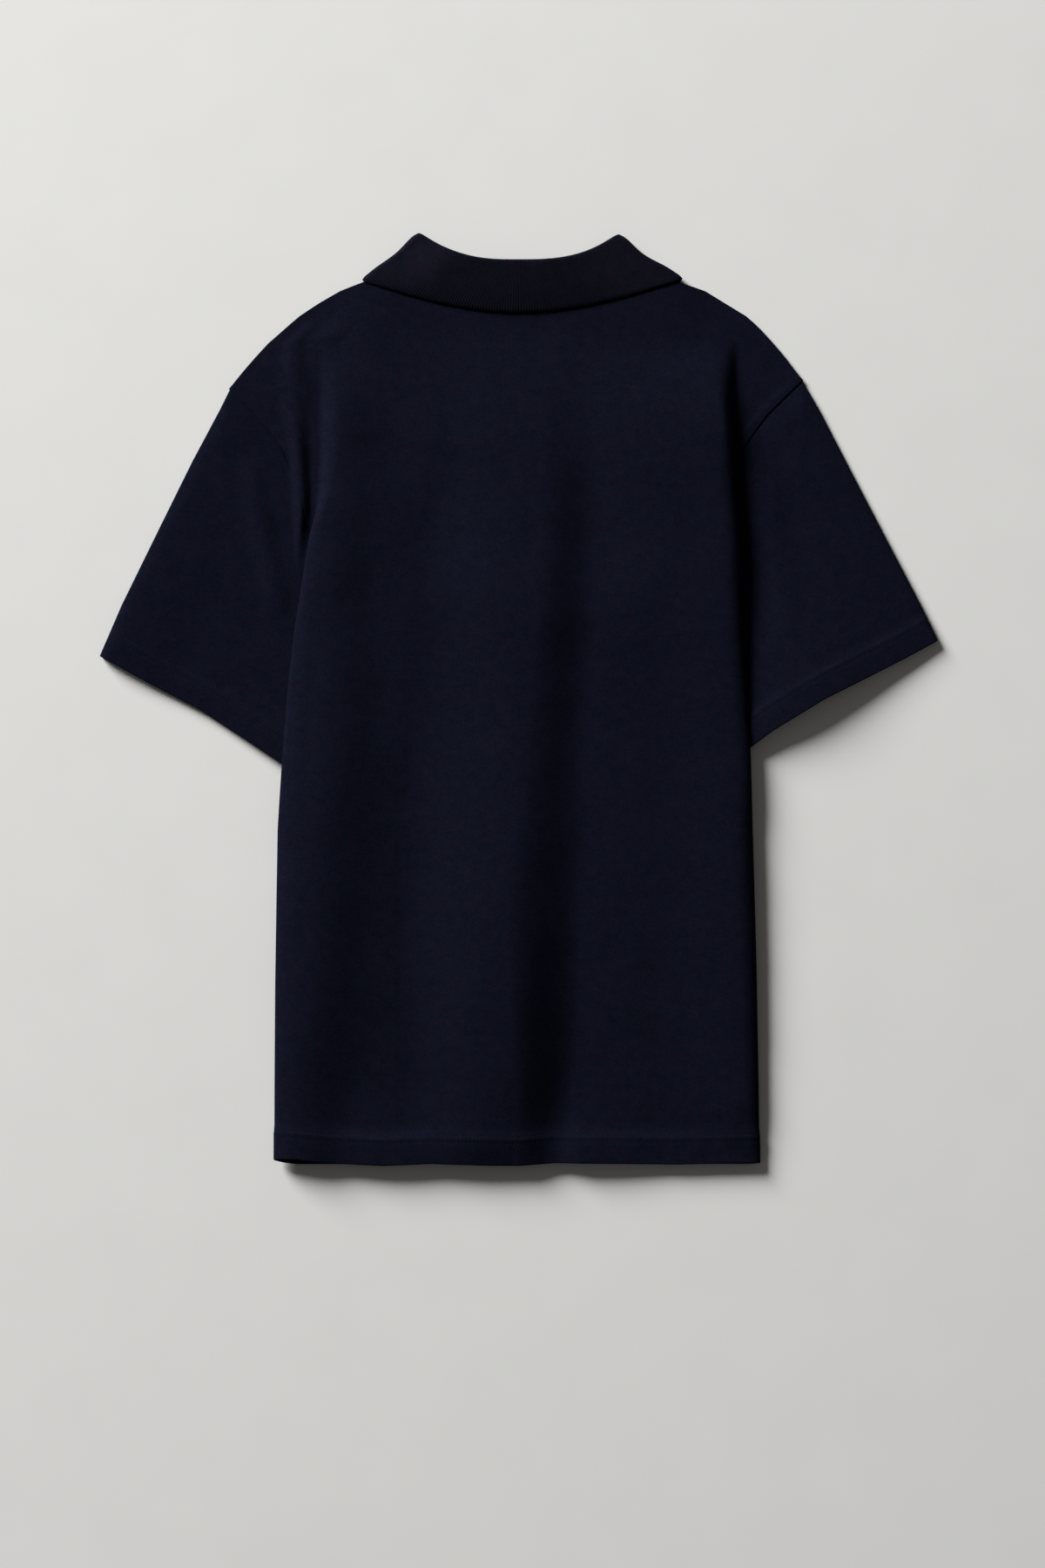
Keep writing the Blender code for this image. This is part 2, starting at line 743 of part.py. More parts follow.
def collar_column(lines, part, share):
    """Points across the collar: seam, stand top, three round the fold, leaf top, leaf edge."""
    seam, stand, leaf, edge = (line.at(part, share) for line in lines)
    across = (stand - seam) / np.linalg.norm(stand - seam)
    half = (leaf - stand) / 2
    column = [seam, stand]
    for angle in FOLD_ANGLES:
        turned = math.radians(angle)
        bulge = across * FOLD_RADIUS * math.sin(turned)
        column.append(stand + half * (1 - math.cos(turned)) + bulge)
    return column + [leaf, edge]


def collar_columns():
    """All columns of the collar from one front end to the other, and which ones the plain faces use."""
    half = []
    plain = [0]
    for part, ribs, every in COLLAR_PARTS:
        steps = 2 * ribs
        base = len(half)
        first = 0 if part == "back" else 1
        half += [(part, step / steps) for step in range(first, steps + 1)]
        ends = list(range(every, steps, every)) + [steps]
        plain += [base - first + step for step in ends]
    return half, plain


def build_collar(material):
    half, plain = collar_columns()
    middle = []
    for side in ("left", "right"):
        lines = collar_lines(side)
        flip = np.array((SIGN[side], 1.0, 1.0))
        columns = [[p * flip for p in collar_column(lines, part, share)] for part, share in half]
        middle.append(columns)
    grid = np.array(middle[0][:0:-1] + middle[1])
    last = len(half) - 1
    kept = sorted({last - k for k in plain} | {last + k for k in plain})
    along = np.gradient(grid, axis=0)
    across = np.gradient(grid, axis=1)
    normals = np.cross(across, along)
    normals /= np.linalg.norm(normals, axis=2)[:, :, None]
    wall = COLLAR_CLOTH / 2
    ribs = np.array([RIB_HEIGHT * (k % 2) for k in range(len(grid))])
    raised = np.zeros(grid.shape[:2])
    raised[:, -2:] = ribs[:, None]
    outer = grid + normals * (wall + raised)[:, :, None]
    inner = grid - normals * wall
    return collar_mesh(outer, inner, kept, material)


def collar_mesh(outer, inner, kept, material):
    """Ribs on the leaf's outer face; every other face joins the kept columns only."""
    across = outer.shape[1]
    points, index = [], {}

    def use(kind, column, row):
        key = (kind, column, row)
        if key not in index:
            index[key] = len(points)
            points.append((outer if kind == "outer" else inner)[column, row])
        return index[key]

    def patch(kind, low, high, row):
        """Corners of one face between two columns."""
        return [use(kind, *p) for p in ((low, row), (low, row + 1), (high, row + 1), (high, row))]

    faces = []
    leaf = across - 2
    for low, high in zip(kept, kept[1:]):
        faces += [patch("outer", low, high, row) for row in range(leaf - 1)]
        faces += [patch("inner", low, high, row)[::-1] for row in range(across - 1)]
        base = [use("outer", low, 0), use("outer", high, 0)]
        faces.append(base + [use("inner", high, 0), use("inner", low, 0)])
        fan(faces, use, ("outer", leaf - 1), ("outer", leaf), low, high)
        fan(faces, use, ("inner", across - 1), ("outer", across - 1), low, high)
        faces += [patch("outer", column, column + 1, leaf) for column in range(low, high)]
    for column in (kept[0], kept[-1]):
        for row in range(across - 1):
            near = [use("outer", column, row), use("inner", column, row)]
            far = [use("inner", column, row + 1), use("outer", column, row + 1)]
            faces.append(near + far)
    return make_object("collar", points, faces, material)


def fan(faces, use, plain, fine, low, high):
    """Joins one step of a plain line to the finer steps beside it."""
    half = (low + high) // 2
    near, far = use(plain[0], low, plain[1]), use(plain[0], high, plain[1])
    for column in range(low, high):
        apex = near if column < half else far
        faces.append([apex, use(fine[0], column, fine[1]), use(fine[0], column + 1, fine[1])])
    faces.append([near, far, use(fine[0], half, fine[1])])


def build_strip(name, below, material):
    """A placket strip: the front panel's own surface moved out by `below`."""
    shell = Shell()
    xs = np.linspace(-PLACKET_WIDTH / 2, PLACKET_WIDTH / 2, STRIP_COLUMNS)
    ys = np.linspace(*PLACKET_ROWS, STRIP_ROWS)
    grids = []
    for offset in (below + PLACKET_CLOTH, below):
        rows = []
        for y in ys:
            heights = [front_face(x, y) for x in xs]
            rows.append([np.array((x, y, h - offset)) for x, h in zip(xs, heights)])
        grids.append(rows)
    shell.grid(*grids)
    return shell.make(name, material)


def front_face(x, y):
    """Lowest the front panel's outer face comes near the centre line."""
    low = REST + min(neck_lift(x, y), neck_lift(0.0, y)) + ridge_height(x, y)
    return low - LAYER_GAP / 2 - CLOTH


def build_button(number, y, material):
    """A flat round button under the placket, with a rim."""
    low = front_face(0.0, y) - PLACKET_LIFT
    shaped = bmesh.new()
    bmesh.ops.create_cone(
        shaped,
        cap_ends=True,
        segments=BUTTON_SEGMENTS,
        radius1=BUTTON_RADIUS * MM,
        radius2=BUTTON_RADIUS * MM,
        depth=BUTTON_THICKNESS * MM,
    )
    bmesh.ops.bevel(
        shaped,
        geom=[e for e in shaped.edges if abs(e.verts[0].co.z - e.verts[1].co.z) < 1e-6],
        offset=BUTTON_BEVEL * MM,
        segments=1,
        affect="EDGES",
    )
    mesh = bpy.data.meshes.new(f"button_{number}")
    shaped.to_mesh(mesh)
    shaped.free()
    mesh.shade_smooth()
    mesh.set_sharp_from_angle(angle=math.radians(40))
    mesh.materials.append(material)
    made = bpy.data.objects.new(f"button_{number}", mesh)
    made.location = (0.0, y * MM, (low + BUTTON_THICKNESS / 2) * MM)
    bpy.data.collections["polo_shirt"].objects.link(made)
    return made


def clear_scene():
    for item in list(bpy.data.objects):
        bpy.data.objects.remove(item, do_unlink=True)


def main():
    clear_scene()
    shirt = bpy.data.collections.new("polo_shirt")
    bpy.context.scene.collection.children.link(shirt)
    pique = make_material("navy_pique", NAVY, 0.9)
    rib = make_material("navy_rib", COLLAR_NAVY, 0.92)
    plastic = make_material("navy_button", BUTTON_NAVY, 0.35)
    build_panel("back", 1.0, BODY_ROWS + BACK_NECK_ROWS, BACK_NECK_DROP, pique)
    build_panel("front", -1.0, BODY_ROWS + FRONT_NECK_ROWS, FRONT_NECK_DROP, pique)
    for side in ("left", "right"):
        build_sleeve(side, pique)
    build_collar(rib)
    build_strip("placket_under", SEAM_GAP, pique)
    build_strip("placket_over", 2 * SEAM_GAP + PLACKET_CLOTH, pique)
    for number, y in enumerate(BUTTON_ROWS, 1):
        build_button(number, y, plastic)


main()
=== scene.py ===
"""A polo shirt laid flat with its back up: cloth, sewing, floor and light.

Lengths are millimetres until a mesh is made. The floor is z = 0, +Y runs from the
hem to the neck, and -X is the wearer's left. The back and the front panel lie on
the two sides of one middle surface, so that they follow each other in every fold.
"""

import logging
import math
from collections.abc import Callable
from dataclasses import dataclass, field
from enum import Enum
from functools import partial

import bmesh
import bpy
import numpy as np
from mathutils import Matrix, Vector


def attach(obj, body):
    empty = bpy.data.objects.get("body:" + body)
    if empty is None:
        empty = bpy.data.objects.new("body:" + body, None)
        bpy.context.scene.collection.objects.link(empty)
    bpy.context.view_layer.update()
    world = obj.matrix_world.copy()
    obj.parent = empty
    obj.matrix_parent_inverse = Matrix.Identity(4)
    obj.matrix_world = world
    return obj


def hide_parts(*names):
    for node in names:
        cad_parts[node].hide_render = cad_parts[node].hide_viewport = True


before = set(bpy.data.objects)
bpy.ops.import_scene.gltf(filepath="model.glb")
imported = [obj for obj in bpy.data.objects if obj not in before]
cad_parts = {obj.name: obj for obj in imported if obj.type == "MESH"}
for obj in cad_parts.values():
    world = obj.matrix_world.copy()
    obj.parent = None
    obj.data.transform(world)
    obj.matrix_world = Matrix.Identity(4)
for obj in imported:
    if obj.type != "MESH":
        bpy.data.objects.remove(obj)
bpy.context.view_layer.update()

log = logging.getLogger("polo_shirt")

MM = 0.001
HALF_TURN = math.pi
QUARTER_TURN = math.pi / 2
LEAST_ANGLE = 0.01
LEAST_LENGTH = 1e-9
THINNEST_EDGE = 0.06
LATE_TURN = 6
FOLD_END_SHARE = 0.75
EDGE_ROWS = (0.0, 0.12, 0.35, 0.7, 1.2, 3.0, 6.0, 10.0, 14.0)
ROWS_ABOVE_HEM = (26.0, 29.0)

Pair = tuple[float, float]
Color = tuple[float, float, float]
Socket = bpy.types.NodeSocket
StitchPath = tuple[np.ndarray, np.ndarray]
Curve = Callable[[np.ndarray], np.ndarray]


class Side(Enum):
    """A side of the shirt, as the wearer has it; the value is its direction along X."""

    LEFT = -1.0
    RIGHT = 1.0


class Panel(Enum):
    """A body panel; the value says on which side of the middle surface it lies."""

    BACK = 1.0
    FRONT = -1.0


class Table:
    """Rows of numbers under named columns; the first column is the one looked up."""

    def __init__(self, columns: str, *rows: tuple[float, ...]) -> None:
        """Keep the rows.

        Args:
            columns: Names of the columns, with spaces between them.
            rows: One tuple of numbers for each row, in rising order of the first.
        """
        self.columns = columns.split()
        self.rows = np.array(rows, float)

    def at(self, value: float | np.ndarray, name: str) -> np.ndarray:
        """Look a column up.

        Args:
            value: Value or values of the first column.
            name: Column to read.

        Returns:
            The column there, on straight lines between the rows.
        """
        return np.interp(value, self.rows[:, 0], self.rows[:, self.columns.index(name)])


@dataclass(frozen=True)
class Crease:
    """A short fold from one point to the next."""

    start: Pair
    end: Pair
    height: float
    width: float


@dataclass(frozen=True)
class Wave:
    """A faint unevenness that runs over the whole cloth, with its turn for each millimetre."""

    along_x: float
    along_y: float
    phase: float
    height: float


def smoothstep(value: np.ndarray | float, low: np.ndarray | float, high: np.ndarray | float) -> np.ndarray:
    """Rise smoothly from 0 to 1.

    Args:
        value: Where to look.
        low: Value at which the rise starts.
        high: Value at which it ends.

    Returns:
        A number from 0 to 1 for each value.
    """
    part = np.clip((np.asarray(value, float) - low) / (high - low), 0.0, 1.0)
    return part * part * (3 - 2 * part)


def hump(distance: np.ndarray, width: np.ndarray | float) -> np.ndarray:
    """Give 1 at the middle and 0 from one width away."""
    return np.cos(QUARTER_TURN * np.minimum(np.abs(distance) / width, 1.0)) ** 2


def fold_height(crease: Crease, x: np.ndarray, y: np.ndarray) -> np.ndarray:
    """Height of one crease.

    Args:
        crease: The crease.
        x: Places along X.
        y: Places along Y, as many as x.

    Returns:
        Its height at each place; it runs out softly at both ends.
    """
    start, end = np.array(crease.start, float), np.array(crease.end, float)
    run = end - start
    part = ((x - start[0]) * run[0] + (y - start[1]) * run[1]) / np.dot(run, run)
    across = np.abs((x - start[0]) * run[1] - (y - start[1]) * run[0]) / np.linalg.norm(run)
    ends = np.clip(1 - np.abs(part - 0.5) * 2, 0.0, 1.0) ** 0.5
    return crease.height * hump(across, crease.width) * smoothstep(ends, 0.0, FOLD_END_SHARE)


def arc_from_end(points: np.ndarray) -> np.ndarray:
    """Distance of each point of a polyline from its last point, along it."""
    steps = np.linalg.norm(np.diff(points, axis=0), axis=1)
    return np.concatenate((np.cumsum(steps[::-1])[::-1], [0.0]))


def rounding(distance: np.ndarray, thickness: np.ndarray | float) -> np.ndarray:
    """Share of its thickness that cloth keeps near a free edge, so that the edge is round."""
    inward = 1 - np.minimum(distance / (np.asarray(thickness) / 2), 1.0)
    return np.sqrt(np.maximum(1 - inward**2, THINNEST_EDGE))


@dataclass
class LaidBody:
    """How the body of the shirt lies: one middle surface that both panels follow."""

    # Cloth: one layer, the double layer of the hem, the gap between panels and the gap at seams.
    cloth: float = 1.2
    hem_cloth: float = 1.8
    layer_gap: float = 0.4
    seam_gap: float = 0.3
    # Hem: its edge, its depth, and how far above it its own line and curl die away.
    hem_y: float = -372.0
    hem_depth: float = 21.5
    hem_step: float = 6.5
    hem_shift_fade: float = 100.0
    flap_hem_shift: float = -1.5
    hem_curl_depth: float = 80.0
    hem_curl_power: float = 1.5
    # Shoulders and neck. Above shoulder_row the sides aren't folded under.
    shoulder_row: float = 285.0
    shoulder_fade: float = 22.0
    shoulder_room: float = 4.0
    neck_half_width: float = 84.0
    neck_point_y: float = 354.0
    # Side fold: cloth in the roll and in the turn back, and the least flap and way out.
    roll_length: float = 13.2
    turn_length: float = 6.9
    least_flap: float = 0.5
    least_out: float = 2.0
    # Shape of the roll: how flat it is pressed at the hem, how much wider and squarer it is.
    hem_press: dict[Side, float] = field(default_factory=lambda: {Side.LEFT: 0.0, Side.RIGHT: 0.5})
    pressed_rows: Pair = (-372.0, -318.0)
    roll_extra: dict[Side, float] = field(default_factory=lambda: {Side.LEFT: 12.0, Side.RIGHT: 6.0})
    roll_power: dict[Side, float] = field(default_factory=lambda: {Side.LEFT: 1.33, Side.RIGHT: 1.0})
    wide_turns: Pair = (2.0, HALF_TURN)
    full_turns: Pair = (2.4, HALF_TURN)
    # Rows over which the flap, and the top above it, rise to pass over the sleeve.
    flap_rows: Pair = (-104.0, -70.0)
    top_rows: Pair = (-430.0, -130.0)
    # Slope from the chest to the roll: its width, where it ends, and the start of the crest.
    ramp: dict[Side, float] = field(default_factory=lambda: {Side.LEFT: 88.0, Side.RIGHT: 101.0})
    ramp_ends: Pair = (103.0, 139.0)
    ramp_rows: Pair = (62.0, 135.0)
    crest_reach: Pair = (6.0, 80.0)
    # Bridge of the back panel between the collar and the chest.
    loft: float = 5.0
    loft_low_rows: Pair = (-40.0, 110.0)
    loft_high_rows: Pair = (205.0, 300.0)
    loft_reach: Pair = (62.0, 152.0)
    # Room under the panels for the collar's front half and the placket; merge joins the two.
    collar_lift: float = 3.5
    collar_rows: Pair = (96.0, 232.0)
    collar_reach: Pair = (112.0, 168.0)
    placket_lift: float = 4.7
    placket_reach: Pair = (18.5, 92.0)
    placket_low_rows: Pair = (0.0, 112.0)
    placket_high_rows: Pair = (262.0, 322.0)
    merge: float = 4.0
    # Points of a row in its span, outer slope, roll, flap, turn and way out.
    span_steps: int = 62
    outer_steps: int = 12
    roll_steps: int = 12
    flap_steps: int = 8
    turn_steps: int = 7
    sleeve_steps: int = 14
    # Short creases, faint waves and long ridges; skew makes the left flank of a ridge fuller.
    skew: float = 1.3
    crease_clear: Pair = (1.0, 12.0)
    creases: tuple[Crease, ...] = (
        Crease((-182.5, 293), (-171, 94), 4.2, 9),
        Crease((-219, 190), (-190, 62), 2.0, 15),
        Crease((196, 188), (216, 50), 1.4, 20),
    )
    waves: tuple[Wave, ...] = (
        Wave(0.012, 0.101, 0.3, 0.10),
        Wave(0.083, 0.027, 1.7, 0.08),
        Wave(-0.061, 0.068, 4.1, 0.08),
        Wave(0.151, -0.047, 2.6, 0.045),
        Wave(0.094, 0.131, 5.2, 0.04),
        Wave(-0.033, 0.217, 0.9, 0.025),
    )
    # How far inwards the crest of each roll slopes away.
    crest_width: dict[Side, Table] = field(
        default_factory=lambda: {
            Side.LEFT: Table("y width", (-372, 24), (-300, 36), (-200, 50), (-60, 56), (130, 44), (200, 26)),
            Side.RIGHT: Table("y width", (-372, 44), (0, 52), (120, 62), (200, 76), (285, 76)),
        }
    )
    # Outermost place of each side fold, and how many degrees it turns under.
    side_fold: dict[Side, Table] = field(
        default_factory=lambda: {
            Side.LEFT: Table(
                "y edge turn", (-372, 196.2, 180), (-314, 196.0, 180), (-230, 195.3, 180), (-104, 193.2, 180),
                (-51, 189.7, 180), (16, 184.4, 180), (57, 179.5, 180), (94, 173.6, 180), (114, 170.6, 180),
                (132, 167.4, 150), (150, 162.6, 108), (170, 158.0, 78), (200, 154.0, 58), (240, 152.5, 40),
                (262, 152.5, 22), (275, 153.0, 9), (285, 153.0, 3),
            ),
            Side.RIGHT: Table(
                "y edge turn", (-372, 193.2, 180), (-286, 191.8, 180), (-209, 190.4, 180), (-41, 185.6, 180),
                (52, 179.2, 180), (125, 176.8, 180), (174, 172.4, 180), (204, 171.0, 145), (230, 169.5, 98),
                (250, 168.4, 62), (270, 168.0, 34), (285, 168.4, 14),
            ),
        }
    )
    # Where the panels end, where the flap ends, and how many degrees it turns back out.
    panel_end: dict[Side, Table] = field(
        default_factory=lambda: {
            Side.LEFT: Table(
                "y seam flap_end turn_back", (-372, 112, 119.4, 0), (58, 112, 119.4, 0), (62, 112, 118.0, 60),
                (67, 113, 116.0, 120), (72, 117.5, 114.5, 180), (80, 126, 123, 180), (100, 146, 143, 180),
                (120, 161, 158, 180), (140, 171, 168, 180), (165, 176, 173, 180), (180, 181, 178, 180),
                (204, 192, 189, 180), (222, 207, 204, 180), (236, 220, 217, 180), (248.5, 233.1, 230, 180),
                (264, 220.5, 217, 180), (274.4, 211.4, 208, 180), (285, 201.6, 198, 180),
                (295.4, 189.7, 186, 180), (306, 177.8, 174, 180), (316.4, 162.4, 160, 180),
                (327, 143.5, 141, 180), (332, 130.5, 128, 180), (336, 119, 117, 180), (345, 102, 99, 180),
                (354, 84, 81, 180),
            ),
            Side.RIGHT: Table(
                "y seam flap_end turn_back", (-372, 112, 119.4, 0), (58, 112, 119.4, 0), (62, 112, 118.0, 60),
                (67, 113, 116.0, 120), (72, 117.5, 114.5, 180), (80, 124, 121, 180), (100, 139, 136, 180),
                (120, 149, 146, 180), (150, 160, 157, 180), (180, 171, 168, 180), (204, 182.7, 180, 180),
                (216.6, 191, 188, 180), (229, 201, 198, 180), (243, 215.6, 212, 180),
                (255.5, 228.2, 225, 180), (264, 221.2, 218, 180), (274.4, 213.5, 210, 180),
                (285, 204.4, 201, 180), (295.4, 195, 192, 180), (306, 184, 181, 180),
                (316.4, 167, 164, 180), (327, 149.5, 147, 180), (332, 134.5, 132, 180),
                (336, 123, 120, 180), (345, 104, 101, 180), (354, 84, 81, 180),
            ),
        }
    )
    ridges: tuple[Table, ...] = field(
        default_factory=lambda: (
            Table(
                "y x height left right", (-372, -4, 7.6, 90, 40), (-350, -5, 11.4, 90, 44),
                (-300, -6, 15.4, 86, 50), (-250, -8, 16.8, 88, 58), (-209, -9, 16.8, 89, 60),
                (-152, -7, 15.6, 91, 61), (-97, -3, 13.6, 92, 59), (-12, 4, 11.0, 92, 52),
                (60, 13, 9.2, 94, 49), (100, 15, 7.4, 92, 46), (190, 18, 3.2, 92, 46), (270, 18, 0, 92, 46),
            ),
            Table(
                "y x height left right", (-372, 14, 0, 112, 124), (-330, 14, 1.4, 112, 124),
                (-250, 14, 4.4, 112, 128), (-190, 14, 6.0, 112, 128), (-97, 14, 6.6, 114, 128),
                (0, 14, 5.6, 118, 124), (60, 14, 3.0, 118, 124), (130, 14, 0, 118, 124),
            ),
            Table(
                "y x height left right", (-372, -172, 1.0, 20, 34), (-300, -169, 2.1, 24, 42),
                (-175, -163, 3.2, 30, 50), (-97, -158, 3.6, 32, 52), (-40, -153, 3.4, 34, 50),
                (40, -148, 2.8, 28, 40), (127, -146, 1.8, 17, 32), (185, -145, 0, 16, 32),
            ),
            Table(
                "y x height left right", (-372, -122, 0, 66, 80), (-320, -122, 1.4, 68, 80),
                (-240, -122, 3.0, 70, 80), (-60, -118, 3.2, 70, 78), (20, -114, 1.6, 68, 74),
                (80, -112, 0, 66, 74),
            ),
            Table(
                "y x height left right", (150, -146, 0, 22, 56), (205, -144, 1.3, 22, 58),
                (258, -140, 2.3, 22, 62), (292, -136, 1.6, 24, 60), (326, -132, 0, 24, 50),
            ),
        )
    )
    # Extra height of each roll's top, and the rows over which the stack below it ends.
    crest_rise: dict[Side, Table] = field(
        default_factory=lambda: {
            Side.LEFT: Table(
                "y rise", (-372, 0), (-330, 0.5), (-250, 1.7), (-200, 2.2), (-150, 3.0), (-60, 3.0),
                (0, 1.1), (40, 0), (75, 0.3), (98, 1.1), (122, 1.8), (150, 1.6), (165, 0),
            ),
            Side.RIGHT: Table(
                "y rise", (-372, 0), (-20, 0), (20, 1.3), (55, 2.5), (100, 2.7), (140, 2.2), (170, 1.9),
                (200, 1.9), (225, 1.4), (240, 0),
            ),
        }
    )
    stack_rows: dict[Side, Pair] = field(
        default_factory=lambda: {Side.LEFT: (135.0, 218.0), Side.RIGHT: (180.0, 236.0)}
    )
    # Lift of the hem's edge, and its line along Y.
    hem_curl: Table = field(
        default_factory=lambda: Table(
            "x lift", (-196, 0.2), (-172, 0.7), (-150, 1.6), (-125, 3.2), (-92, 3.8), (-62, 2.8),
            (-35, 1.6), (-4, 0.2), (22, 2.3), (48, 5.2), (65, 4.0), (90, 1.5), (112, 0.0), (135, 0.0),
            (196, 0.0),
        )
    )
    hem_line: Table = field(
        default_factory=lambda: Table(
            "x shift", (-196, 5.5), (-176, 2.4), (-160, 0.3), (-142, -0.9), (-109, -2.5), (-70, -0.8),
            (-24, -2.2), (0, -2.4), (30, -0.4), (70, -0.8), (124, -1.6), (193, -0.2),
        )
    )

    def __post_init__(self) -> None:
        """Work out the sizes that follow from the others."""
        self.rest = self.cloth + self.layer_gap / 2
        self.under_sleeve = 2 * self.turn_length / HALF_TURN
        self.roll_start = self.span_steps + self.outer_steps
        self.known: dict[tuple[Side, float], "FoldedRow"] = {}

    def thickness(self, y: np.ndarray | float) -> np.ndarray:
        """Thickness of a layer at y: double cloth in the hem."""
        low = self.hem_y + self.hem_depth
        part = np.clip((np.asarray(y, float) - low) / self.hem_step, 0.0, 1.0)
        return self.hem_cloth + (self.cloth - self.hem_cloth) * part

    def flap_lift(self, y: float) -> float:
        """How far a side flap lies above the floor, where it passes over the sleeve."""
        return float(self.under_sleeve * smoothstep(y, *self.flap_rows))

    def top_lift(self, side: Side, y: float) -> float:
        """How far the top of a rolled side is lifted; it starts long before the flap's own lift."""
        return float(self.under_sleeve * smoothstep(y, *self.top_rows) + self.crest_rise[side].at(y, "rise"))

    def soft_height(self, x: np.ndarray, y: np.ndarray) -> np.ndarray:
        """Long ridges and the slight unevenness of cloth that was smoothed out by hand.

        Args:
            x: Places along X.
            y: Places along Y.

        Returns:
            Height that is added to the middle surface, never less than 0.
        """
        x, y = np.broadcast_arrays(np.asarray(x, float), np.asarray(y, float))
        total = np.zeros(x.shape)
        for ridge in self.ridges:
            middle = ridge.at(y, "x")
            width = np.where(x < middle, ridge.at(y, "left"), ridge.at(y, "right"))
            share = np.minimum(np.abs(x - middle) / width, 1.0)
            share = np.where(x < middle, share**self.skew, share)
            total += ridge.at(y, "height") * hump(share, 1.0)
        for wave in self.waves:
            total += wave.height * (1 + np.sin(wave.along_x * x + wave.along_y * y + wave.phase))
        low = 1 - smoothstep(y, self.hem_y, self.hem_y + self.hem_curl_depth)
        return total + self.hem_curl.at(x, "lift") * low**self.hem_curl_power

    def crease_height(self, x: np.ndarray, y: np.ndarray) -> np.ndarray:
        """Height of the short folds beside the rolled sides, none under them.

        Args:
            x: Places along X.
            y: Places along Y.

        Returns:
            Height at each place.
        """
        x, y = np.broadcast_arrays(np.asarray(x, float), np.asarray(y, float))
        total = sum(fold_height(crease, x, y) for crease in self.creases)
        left, right = (self.side_fold[side].at(y, "edge") for side in Side)
        edge = np.where(x < 0, left, right)
        near, clear = self.crease_clear
        return total * smoothstep(np.abs(x), edge + near, edge + clear)

    def neck_lift(self, x: np.ndarray, y: float) -> np.ndarray:
        """Room under the panels for the front half of the collar and for the placket.

        Args:
            x: Places along X.
            y: The row.

        Returns:
            Height at each place.
        """
        across = np.abs(x)
        beside = 1 - smoothstep(across, *self.collar_reach)
        collar = self.collar_lift * smoothstep(y, *self.collar_rows) * beside
        sides = 1 - smoothstep(across, *self.placket_reach)
        ends = smoothstep(y, *self.placket_low_rows) * (1 - smoothstep(y, *self.placket_high_rows))
        placket = self.placket_lift * sides * ends
        return (collar**self.merge + placket**self.merge) ** (1 / self.merge)

    def back_loft(self, distance: np.ndarray, y: float) -> np.ndarray:
        """How far the back panel bridges above the front between collar and chest.

        Args:
            distance: Distances of a row's points from the centre line.
            y: The row.

        Returns:
            Height at each distance, 0 from the crest of the roll outwards.
        """
        rows = smoothstep(y, *self.loft_low_rows) * (1 - smoothstep(y, *self.loft_high_rows))
        return self.loft * rows * (1 - smoothstep(distance, *self.loft_reach))

    def row(self, side: Side, y: float) -> "FoldedRow":
        """Give the folded row of one side, made once.

        Args:
            side: Side of the shirt.
            y: Row along Y.

        Returns:
            The row.
        """
        key = (side, round(y, 4))
        if key not in self.known:
            self.known[key] = FoldedRow(self, side, y)
        return self.known[key]

    def points(self, side: Side, y: float, start: float = 0.0) -> np.ndarray:
        """Middle line of a row from its start to its seam.

        Args:
            side: Side of the shirt.
            y: The row.
            start: Distance of the first point from the centre line.

        Returns:
            (distance, height) pairs.
        """
        if y <= self.shoulder_row:
            return self.row(side, y).points(start)
        return self.shoulder_points(side, y, start)

    def shoulder_points(self, side: Side, y: float, start: float) -> np.ndarray:
        """A row above the side folds: the last folded row, drawn in to the shoulder.

        Args:
            side: Side of the shirt.
            y: The row.
            start: Distance of the first point from the centre line.

        Returns:
            (distance, height) pairs.
        """
        last = self.row(side, self.shoulder_row)
        folded = last.points(0.0)
        end = float(self.panel_end[side].at(y, "seam"))
        share = folded[:, 0] / folded[-1, 0]
        sign = side.value
        soft = self.soft_height(sign * folded[:, 0], self.shoulder_row)
        extra = folded[:, 1] - last.floor - self.neck_lift(folded[:, 0], self.shoulder_row) - soft
        fade = max(0.0, 1 - (y - self.shoulder_row) / self.shoulder_fade)
        middle = share[self.span_steps]
        pivot = middle * end
        if pivot < start + self.shoulder_room:
            pivot = start + middle * (end - start)
        inner = start + share / middle * (pivot - start)
        outer = pivot + (share - middle) / (1 - middle) * (end - pivot)
        distance = np.where(share < middle, inner, outer)
        low = self.rest + self.neck_lift(distance, y) + self.soft_height(sign * distance, y)
        return np.stack((distance, low + fade * np.interp(distance / end, share, extra)), axis=1)

    def seam_distance(self, side: Side, y: float) -> float:
        """Where the body panels end at y, from the centre line."""
        return float(self.points(side, y)[-1, 0])

    def hem_shift(self, side: Side, y: float, distance: np.ndarray) -> np.ndarray:
        """How far each point of a low row moves along Y, so that the hem keeps its line.

        Args:
            side: Side of the shirt.
            y: The row.
            distance: Distances of the row's points from the centre line.

        Returns:
            The move of each point.
        """
        low = self.hem_y + self.hem_depth
        weight = 1 - smoothstep(y, low, low + self.hem_shift_fade)
        shift = self.hem_line.at(side.value * distance, "shift")
        index = np.arange(len(distance))
        under = np.clip((index - self.roll_start) / self.roll_steps, 0.0, 1.0)
        return (shift + (self.flap_hem_shift - shift) * under) * weight


